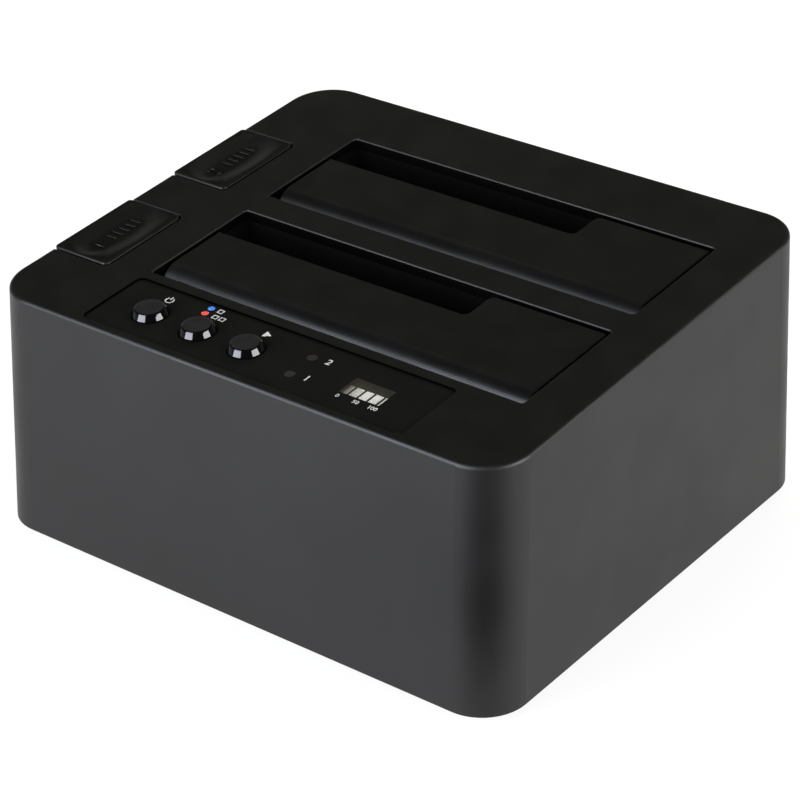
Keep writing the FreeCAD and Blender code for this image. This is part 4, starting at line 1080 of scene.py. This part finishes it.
@dataclass
class EjectMarks:
    """Raised numeral and grip ribs in the dish of each eject button."""

    caps: Dict[str, Piece]
    finish: Material
    raise_by: float = 0.34
    sunk: float = 0.3
    numeral_height: float = 3.7
    numeral_from_middle: float = -6.6
    rib_size: Pair = (3.1, 0.65)
    rib_ends: float = 0.45
    rib_back: float = 0.35
    ribs_from_middle: Tuple[float, ...] = (-2.1, 0.0, 2.1, 4.2, 6.3)

    def build(self) -> None:
        """Model the marks of both buttons; the ribs are copies of one."""
        first = self.rib()
        for count, side in enumerate(self.caps, 1):
            digit = Bench.numeral(str(count), self.numeral_height, self.raise_by + self.sunk)
            self.seat(digit, f"{side}_eject_numeral", side, self.numeral_from_middle)
            for number, step in enumerate(self.ribs_from_middle, 1):
                name = f"{side}_eject_rib_{number}"
                self.seat(stand(name, first.data.copy()), name, side, step)
        bpy.data.objects.remove(first)

    def rib(self) -> Piece:
        """Make a short rib along Y with rounded ends and a rounded back.

        Returns:
            The rib, standing on the origin.
        """
        length, width = self.rib_size
        height = (self.raise_by + self.sunk) * MM
        Bench.block((width, length, self.raise_by + self.sunk))
        Bench.pick(Part.EDGES, lambda at: abs(at.z) < HAIR)
        bpy.ops.mesh.bevel(offset=self.rib_ends * width * MM, segments=4)
        Bench.pick(Part.EDGES, lambda at: at.z > height / 2 - HAIR)
        bpy.ops.mesh.bevel(offset=self.rib_back * self.raise_by * MM, segments=2)
        bpy.ops.mesh.select_all(action="SELECT")
        bpy.ops.transform.translate(value=(0, 0, height / 2))
        return Bench.close()

    def seat(self, piece: Piece, name: str, side: str, step: float) -> None:
        """Set a mark into the dish, square to the dish's surface, and let it move with the button.

        Args:
            piece: The mark, standing on the origin.
            name: Its name.
            side: Which of the two buttons.
            step: Distance behind the button's middle in millimetres.
        """
        node = f"{side}_eject_button"
        x, y = DeckPlane.over(node).middle(node)
        above = Vector((x * MM, (y + step) * MM, CAD_BOX[1].z + MM))
        _, point, normal, _ = self.caps[side].ray_cast(above, Vector((0, 0, -1)))
        turn = normal.to_track_quat("Z", "Y").to_matrix().to_4x4() @ Matrix.Rotation(math.pi / 2, 4, "Z")
        place = Matrix.Translation(point - normal * self.sunk * MM) @ turn
        Bench.settle(piece, name, place, self.finish)
        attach(piece, f"{side}_eject")
        LOG.info("raised %s", name)


@dataclass
class Springs:
    """Springs of the frame, copied with smoothed wire and set in place."""

    finish: Material
    smooth: float = 65.0
    foot: float = 0.6
    arm: float = 0.6

    def wire(self, node: str, name: str) -> Piece:
        """Copy a spring of the frame, round off its wire's facets and let it stand for the node.

        Args:
            node: The spring of the frame.
            name: Name of the new piece.

        Returns:
            The new piece.
        """
        piece = Bench.settle(Bench.copy(node, name), name, Matrix.Identity(4), self.finish)
        Bench.smooth(piece, self.smooth)
        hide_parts(node)
        LOG.info("wound %s", name)
        return piece

    def eject(self, side: str) -> None:
        """Set the spring that an eject button presses together on its post.

        Args:
            side: Which of the two buttons.
        """
        node, press = f"{side}_eject_spring", f"{side}_eject_press"
        coil = self.wire(node, f"{side}_eject_coil")
        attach(coil, "base")
        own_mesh(coil)

    def flap(self, side: str) -> None:
        """Set the spring that a flap winds up; the whole spring stays where it is.

        Args:
            side: Which of the two flaps.
        """
        node = f"{side}_flap_spring"
        coil = self.wire(node, f"{side}_flap_coil")
        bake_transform(coil)

    def build(self) -> None:
        """Set all the springs."""
        for side in SIDES:
            self.eject(side)
            self.flap(side)


@dataclass
class CoverScrews:
    """Countersunk screws of the base, each with a cross recess."""

    finish: Material
    facets: int = 48
    head_radius: float = 2.9
    head_height: float = 1.6
    shank_radius: float = 1.15
    shank_steps: Tuple[Pair, Pair] = ((0.88, 1.0), (0.12, 0.6))
    recess_reach: float = 1.75
    recess_width: float = 0.8
    recess_depth: float = 1.1
    recess_taper: Pair = (0.55, 0.6)
    edge: float = 0.12
    smooth: float = 35.0

    def cross(self) -> Piece:
        """Make the cutter of the recess: two crossed arms that narrow inwards.

        Returns:
            The cutter, around the origin.
        """
        Bench.block((2 * self.recess_reach, self.recess_width, 2 * self.recess_depth))
        Bench.pick(Part.FACES, lambda at: at.z > self.recess_depth * MM - TOUCH)
        bpy.ops.transform.resize(value=(*self.recess_taper, 1))
        cutter = Bench.close()
        Bench.hold(cutter)
        bpy.ops.object.duplicate()
        other = bpy.context.object
        other.rotation_euler = (0, 0, math.pi / 2)
        bpy.ops.object.transform_apply(location=False, rotation=True, scale=False)
        Bench.finish(cutter, "BOOLEAN", object=other, operation="UNION", solver="EXACT")
        bpy.data.objects.remove(other)
        return cutter

    def screw(self, length: float) -> Piece:
        """Turn one screw with its head face at the origin.

        Args:
            length: Whole length in metres.

        Returns:
            The screw, pointing up.
        """
        head = self.head_height * MM
        Bench.rod(self.head_radius, 0, head, self.facets)
        Bench.pick(Part.FACES, lambda at: at.z > head - TOUCH)
        share = self.shank_radius / self.head_radius
        bpy.ops.transform.resize(value=(share, share, 1))
        for rise, narrow in self.shank_steps:
            Bench.grow(rise * (length - head), narrow)
        Bench.pick(Part.EDGES, lambda at: at.z < TOUCH)
        bpy.ops.mesh.bevel(offset=self.edge * MM, segments=2)
        screw = Bench.close()
        cutter = self.cross()
        Bench.finish(screw, "BOOLEAN", object=cutter, operation="DIFFERENCE", solver="EXACT")
        bpy.data.objects.remove(cutter)
        Bench.smooth(screw, self.smooth)
        return screw

    def build(self) -> None:
        """Set a screw in each corner of the base."""
        low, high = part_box("cover_screws")
        first = self.screw(high.z - low.z)
        reach_x, reach_y = high.x - self.head_radius * MM, high.y - self.head_radius * MM
        places = [(x, y) for x in (-reach_x, reach_x) for y in (-reach_y, reach_y)]
        for count, (x, y) in enumerate(places, 1):
            name = f"cover_screw_{count}"
            piece = stand(name, first.data.copy())
            Bench.settle(piece, name, Matrix.Translation((x, y, low.z)), self.finish)
            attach(piece, "base")
            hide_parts("cover_screws")
            LOG.info("set %s", piece.name)
        bpy.data.objects.remove(first)


@dataclass
class ContactRow:
    """A row of sprung contact strips on one face of a port or connector."""

    name: str
    finish: Material
    count: int
    pitch: float
    width: float = 0.55
    length: float = 5.0
    thick: float = 0.16
    nose: float = 0.7
    bow: float = 0.5
    bow_reach: float = 0.2

    def strip(self) -> Piece:
        """Make one strip along Y, bowed in the middle and rounded at its nose.

        Returns:
            The strip, around the origin.
        """
        Bench.block((self.width, self.length, self.thick))
        length, thick = self.length * MM, self.thick * MM
        Bench.pick(Part.EDGES, lambda at: at.y > length / 2 - HAIR and abs(at.x) < HAIR and at.z > 0)
        bpy.ops.mesh.bevel(offset=self.nose * thick, segments=3)
        Bench.pick(Part.EDGES, lambda at: abs(at.y) < HAIR)
        bpy.ops.mesh.subdivide(number_cuts=3)
        top, reach = thick / 2 - HAIR, self.bow_reach * length
        Bench.pick(Part.CORNERS, lambda at: at.z > top and abs(at.y) < reach)
        bpy.ops.transform.translate(value=(0, 0, self.bow * thick))
        return Bench.close()

    def build(self, place: Matrix) -> None:
        """Set the row.

        Args:
            place: The row's middle and lie: X along the row, Z away from the face.
        """
        row = self.strip()
        step = (self.pitch * MM, 0, 0)
        Bench.finish(row, "ARRAY", count=self.count, use_relative_offset=False,
                     use_constant_offset=True, constant_offset_displace=step)
        start = Matrix.Translation((-(self.count - 1) * self.pitch * MM / 2, 0, 0))
        Bench.settle(row, self.name, place @ start, self.finish)
        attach(row, "base")
        LOG.info("set %s, %d contacts", self.name, self.count)


@dataclass
class Contacts:
    """The plated contacts in the rear ports and in the two drive connectors."""

    finish: Material
    fine: Pair = (0.85, 0.45)
    coarse: Pair = (2.0, 0.9)
    square_length: float = 6.0
    upper_drop: float = 1.0
    tongue_rise: float = 3.2
    flat_count: int = 7
    flat_pitch: float = 1.1
    flat_length: float = 5.6
    slot_lengths: Tuple[float, float] = (10.4, 20.6)
    slot_gap: float = 2.0
    slot_half: float = 1.0
    slot_counts: Tuple[int, int] = (7, 15)
    slot_pitch: float = 1.27
    slot_drop: float = 2.6
    slot_contact: float = 4.2

    def ports(self) -> None:
        """Set the rows on the tongues of the square and the flat port."""
        low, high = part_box("usb_port_core")
        x, y, _ = middle_of(low, high)
        turned = Matrix.Rotation(math.pi, 4, "Y")
        rows = (("upper", 5, self.fine, high.z - self.upper_drop * MM, turned),
                ("middle", 2, self.coarse, low.z + self.tongue_rise * MM, Matrix.Identity(4)),
                ("lower", 2, self.coarse, low.z, turned))
        for level, count, (pitch, width), z, lie in rows:
            name = f"square_port_{level}_contacts"
            row = ContactRow(name, self.finish, count, pitch, width=width, length=self.square_length)
            row.build(Matrix.Translation((x, y, z)) @ lie)
        low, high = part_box("esata_port_core")
        x, y, _ = middle_of(low, high)
        row = ContactRow("flat_port_contacts", self.finish, self.flat_count, self.flat_pitch,
                         length=self.flat_length)
        row.build(Matrix.Translation((x, y, high.z)))

    def drives(self) -> None:
        """Set the rows in the slots of the drive connectors."""
        upright = Matrix.Rotation(math.pi / 2, 4, "X")
        whole = sum(self.slot_lengths) + self.slot_gap
        for side in SIDES:
            low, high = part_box(f"{side}_drive_connector")
            x, y, _ = middle_of(low, high)
            start, wall = x - whole * MM / 2, y + self.slot_half * MM
            for count, length in zip(self.slot_counts, self.slot_lengths):
                at = (start + length * MM / 2, wall, high.z - self.slot_drop * MM)
                name = f"{side}_connector_contacts_{count}"
                row = ContactRow(name, self.finish, count, self.slot_pitch, length=self.slot_contact)
                row.build(Matrix.Translation(at) @ upright)
                start += (length + self.slot_gap) * MM

    def build(self) -> None:
        """Set all the contacts."""
        self.ports()
        self.drives()


@dataclass
class Dressing:
    """The finishes of the frame's own pieces, by material slot."""

    normal: Vector
    bar_rise: Pair = (0.08, 0.48)

    def finishes(self) -> Dict[str, Finish]:
        """List a finish for every slot of the record.

        Returns:
            The finishes by slot.
        """
        low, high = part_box("progress_light_bars")
        first, last = (low.x + share * (high.x - low.x) for share in self.bar_rise)
        normal = tuple(self.normal)
        return {
            # Painted sheen on the case, flap, eject and panel plastics: their level faces are painted
            # paler.
            "case": ShellMoulding("case_plastic", (9, 9, 8), 0.46, gloss=0.36, pale=2.5),
            "cover": Moulding("cover_plastic", (22, 22, 21), 0.55, grain=0.4, depth=0.015),
            "flap": Moulding("flap_plastic", (11, 11, 10), 0.33, gloss=0.32, pale=1.95),
            "eject": Moulding("eject_plastic", (9, 9, 8), 0.42, gloss=0.26, pale=1.7,
                              level=(0.955, 0.9985)),
            "panel": Moulding("panel_film", (9, 9, 8), 0.38, grain=1.4, depth=0.003, cloud=0.06,
                              gloss=0.22, pale=2.1),
            "key": KeyCap("key_plastic", (30, 29, 29), (6, 6, 7), normal),
            # Painted shade: the well's black plastic is set near black and almost without gloss, standing
            # in for the shade inside the bays.
            "well": Moulding("shaded_well_plastic", (3, 3, 3), 0.85, grain=0.3, depth=0.01, gloss=0.05),
            "lever": Moulding("lever_plastic", (34, 34, 35), 0.5),
            "pin": Metal("pin_steel", (190, 188, 184), 0.28, (0.1, 1, 1)),
            "spring": Metal("spring_wire", (168, 166, 160), 0.3),
            "screw": Metal("screw_black_zinc", (70, 68, 66), 0.36),
            "foot": Moulding("foot_rubber", (26, 26, 26), 0.85, grain=0.5, depth=0.03, gloss=0.25),
            "board": BoardLacquer("board_lacquer", (18, 66, 40)),
            "connector": Moulding("connector_resin", (20, 20, 21), 0.5, grain=0.15),
            "port_shell": Metal("port_tinned_steel", (196, 194, 188), 0.26, (1, 0.15, 1)),
            "port_core": Moulding("port_resin", (24, 62, 130), 0.42, grain=0.2),
            "jack": Moulding("jack_resin", (18, 18, 18), 0.42, grain=0.2),
            "jack_pin": Metal("jack_pin_nickel", (204, 200, 188), 0.2),
            "light": Moulding("light_pipe", (30, 27, 25), 0.3, grain=0.6, depth=0.004, cloud=0.15),
            "led": Moulding("light_chip", (226, 222, 206), 0.35, grain=0.3),
            "window": SmokedWindow("window_smoke", (98, 94, 82), 0.12, normal),
            "bar": LightBars("bar_white", (196, 194, 187), (104, 102, 92), (16, 15, 13),
                             (first, last), normal),
            "module": Moulding("module_resin", (80, 77, 66), 0.5, grain=0.3),
            "ribbon": Moulding("ribbon_vinyl", (196, 194, 186), 0.45, grain=0.5),
            "socket": Moulding("socket_resin", (226, 220, 204), 0.45, grain=0.2),
            "switch": Metal("switch_can", (186, 184, 178), 0.3),
            "plunger": Moulding("plunger_resin", (20, 20, 20), 0.4, grain=0.2),
        }

    def build(self) -> Dict[str, Material]:
        """Dress every piece of the frame.

        Returns:
            The materials by slot.
        """
        materials = {slot: finish.material() for slot, finish in self.finishes().items()}
        for name, node in sorted(frame["nodes"].items()):
            slot = node.material_slots[0].material.name.split(".")[0]
            node.material_slots[0].material = materials[slot]
            LOG.info("dressed %s as %s", name, slot)
        return materials


@dataclass(frozen=True)
class SoftLight:
    """One soft box: where it stands round the part, its size and its power."""

    name: str
    azimuth: float
    elevation: float
    size: Pair
    power: float
    colour: Colour = (255, 255, 255)
    distance: float = 0.75
    mirrored: bool = True
    aim_height: float = 0.04

    def build(self) -> None:
        """Set the light up, facing the part."""
        way = direction(self.azimuth, self.elevation)
        data = bpy.data.lights.new(self.name, "AREA")
        data.shape = "RECTANGLE"
        data.size, data.size_y = self.size
        data.energy = self.power
        data.color = linear(self.colour)[:3]
        lamp = stand(self.name, data)
        lamp.location = Vector((0, 0, self.aim_height)) + way * self.distance
        lamp.rotation_euler = way.to_track_quat("Z", "Y").to_euler()
        lamp.visible_glossy = self.mirrored


@dataclass
class Studio:
    """Pale floor, soft lights and the camera at the photograph's angle."""

    camera_at: Triple = (0.35281, -0.44047, 0.35916)
    azimuth: float = 38.669
    elevation: float = 30.484
    roll: float = -2.041
    lens: float = 126.19
    sensor: float = 36.0
    near: float = 0.01
    floor_size: float = 14.0
    floor_grey: float = 0.85
    floor_roughness: float = 0.9
    floor_glow: float = 0.9
    horizon: Pair = (0.03, 0.3)
    overhead: Colour = (0.05, 0.05, 0.042)
    right_side: Pair = (-0.1, 0.4)
    surroundings: Pair = (0.45, 0.15)
    card_size: Pair = (0.16, 0.5)
    card_start: float = 0.115
    card_height: float = 0.001
    card_grey: float = 0.01
    lights: Tuple[SoftLight, ...] = (
        SoftLight("left_soft_box", -17.0, 15.0, (0.56, 0.42), 9.2, (241, 243, 255)),
        SoftLight("right_soft_box", 95.0, 15.0, (0.56, 0.42), 9.0),
        SoftLight("upper_left_soft_box", -22.0, 41.5, (0.5, 0.2), 4.0, (238, 242, 255)),
        SoftLight("rear_strip", -160.0, 35.0, (0.5, 0.1), 2.0, (255, 255, 243), 0.35, mirrored=False),
        SoftLight("rear_glint", -142.0, 25.0, (0.5, 0.1), 0.055, distance=0.35),
    )

    def camera(self) -> None:
        """Set the camera from its place, its two angles and its roll."""
        az, roll = math.radians(self.azimuth), math.radians(self.roll)
        back = direction(self.azimuth, self.elevation)
        right = Vector((math.cos(az), math.sin(az), 0))
        up = back.cross(right)
        right_turned = math.cos(roll) * right + math.sin(roll) * up
        up_turned = math.cos(roll) * up - math.sin(roll) * right
        data = bpy.data.cameras.new("studio_camera")
        data.lens = self.lens
        data.sensor_width = self.sensor
        data.clip_start = self.near
        eye = stand("studio_camera", data)
        turned = Matrix((right_turned, up_turned, back)).transposed().to_4x4()
        eye.matrix_world = Matrix.Translation(self.camera_at) @ turned
        bpy.context.scene.camera = eye

    def sheet(self, name: str, size: float) -> Piece:
        """Lay a flat square around the origin.

        Args:
            name: Its name.
            size: Its side in metres.

        Returns:
            The square, selected alone.
        """
        Bench.clear()
        bpy.ops.mesh.primitive_plane_add(size=size)
        bpy.context.object.name = name
        return bpy.context.object

    def matt(self, name: str, grey: float, roughness: float) -> ShaderTree:
        """Start a matt grey material.

        Args:
            name: Its name.
            grey: How light it is, from 0 to 1.
            roughness: How rough it is.

        Returns:
            The material's nodes.
        """
        tree = ShaderTree(name)
        tree.set(Base_Color=(grey, grey, grey, 1), Roughness=roughness, Specular_IOR_Level=0.0)
        return tree

    def floor(self) -> None:
        """A wide pale floor that reads as white and keeps a soft shadow."""
        floor = self.sheet("floor", self.floor_size)
        tree = self.matt("floor_white", self.floor_grey, self.floor_roughness)
        rays = tree.add("ShaderNodeLightPath").outputs
        seen = tree.maths("MAXIMUM", rays["Is Camera Ray"], rays["Is Glossy Ray"])
        seen = tree.maths("MAXIMUM", seen, rays["Is Transmission Ray"])
        glow = tree.add("ShaderNodeEmission", {"Color": (1, 1, 1, 1), "Strength": 1.0})
        share = tree.maths("MULTIPLY", seen, self.floor_glow)
        mix = tree.add("ShaderNodeMixShader", {0: share, 1: tree.shader.outputs[0], 2: glow.outputs[0]})
        tree.feed(tree.nodes["Material Output"], "Surface", mix.outputs[0])
        floor.data.materials.append(tree.material)

    def world(self) -> None:
        """Surroundings that are bright at the horizon, dim overhead and dim on the right."""
        world = bpy.data.worlds.new("studio_world")
        world.use_nodes = True
        bpy.context.scene.world = world
        tree = NodeTree(world.node_tree)
        at = tree.split(tree.add("ShaderNodeTexCoord").outputs["Generated"])
        ramp = tree.add("ShaderNodeValToRGB", {0: at["Z"]})
        stops = zip(ramp.color_ramp.elements, self.horizon, ((1, 1, 1), self.overhead))
        for stop, height, colour in stops:
            stop.position = height
            stop.color = (*colour, 1)
        back = tree.nodes["Background"]
        tree.feed(back, "Color", ramp.outputs[0])
        tree.feed(back, "Strength", tree.spread(at["X"], *self.surroundings, self.right_side))

    def card(self) -> None:
        """A dark card on the floor before the camera, out of sight, which only reflections show."""
        card = self.sheet("dark_card", 1.0)
        wide, deep = self.card_size
        card.scale = (wide, deep, 1)
        card.rotation_euler = (0, 0, math.radians(self.azimuth))
        card.location = direction(self.azimuth, 0) * (self.card_start + deep / 2)
        card.location.z = self.card_height
        bpy.ops.object.transform_apply(location=True, rotation=True, scale=True)
        card.data.materials.append(self.matt("card_black", self.card_grey, 1.0).material)
        card.visible_camera = False
        card.visible_shadow = False

    def build(self) -> None:
        """Set up the whole studio."""
        self.camera()
        self.floor()
        self.world()
        self.card()
        for light in self.lights:
            light.build()
        bpy.context.scene.view_settings.view_transform = "Standard"
        LOG.info("studio ready")


def main() -> None:
    """Dress the frame, add the marks and set up the studio."""
    logging.basicConfig(level=logging.INFO, format="%(name)s: %(message)s")
    panel = DeckPlane.over("control_panel")
    materials = Dressing(panel.normal).build()
    colours = {"ink_white": (168, 168, 166), "ink_blue": (48, 104, 190), "ink_red": (186, 64, 45)}
    inks = [Moulding(name, colour, 0.45, grain=0.12, depth=0.004).material()
            for name, colour in colours.items()]
    PanelPrint(panel, *inks).build()
    PushKeys(panel, materials["key"]).build()
    caps = EjectCaps(materials["eject"]).build()
    EjectMarks(caps, materials["eject"]).build()
    Springs(materials["spring"]).build()
    CoverScrews(materials["screw"]).build()
    gold = Metal("contact_gold", (226, 178, 92), 0.25).material()
    Contacts(gold).build()
    Studio().build()


if __name__ == "__main__":
    main()
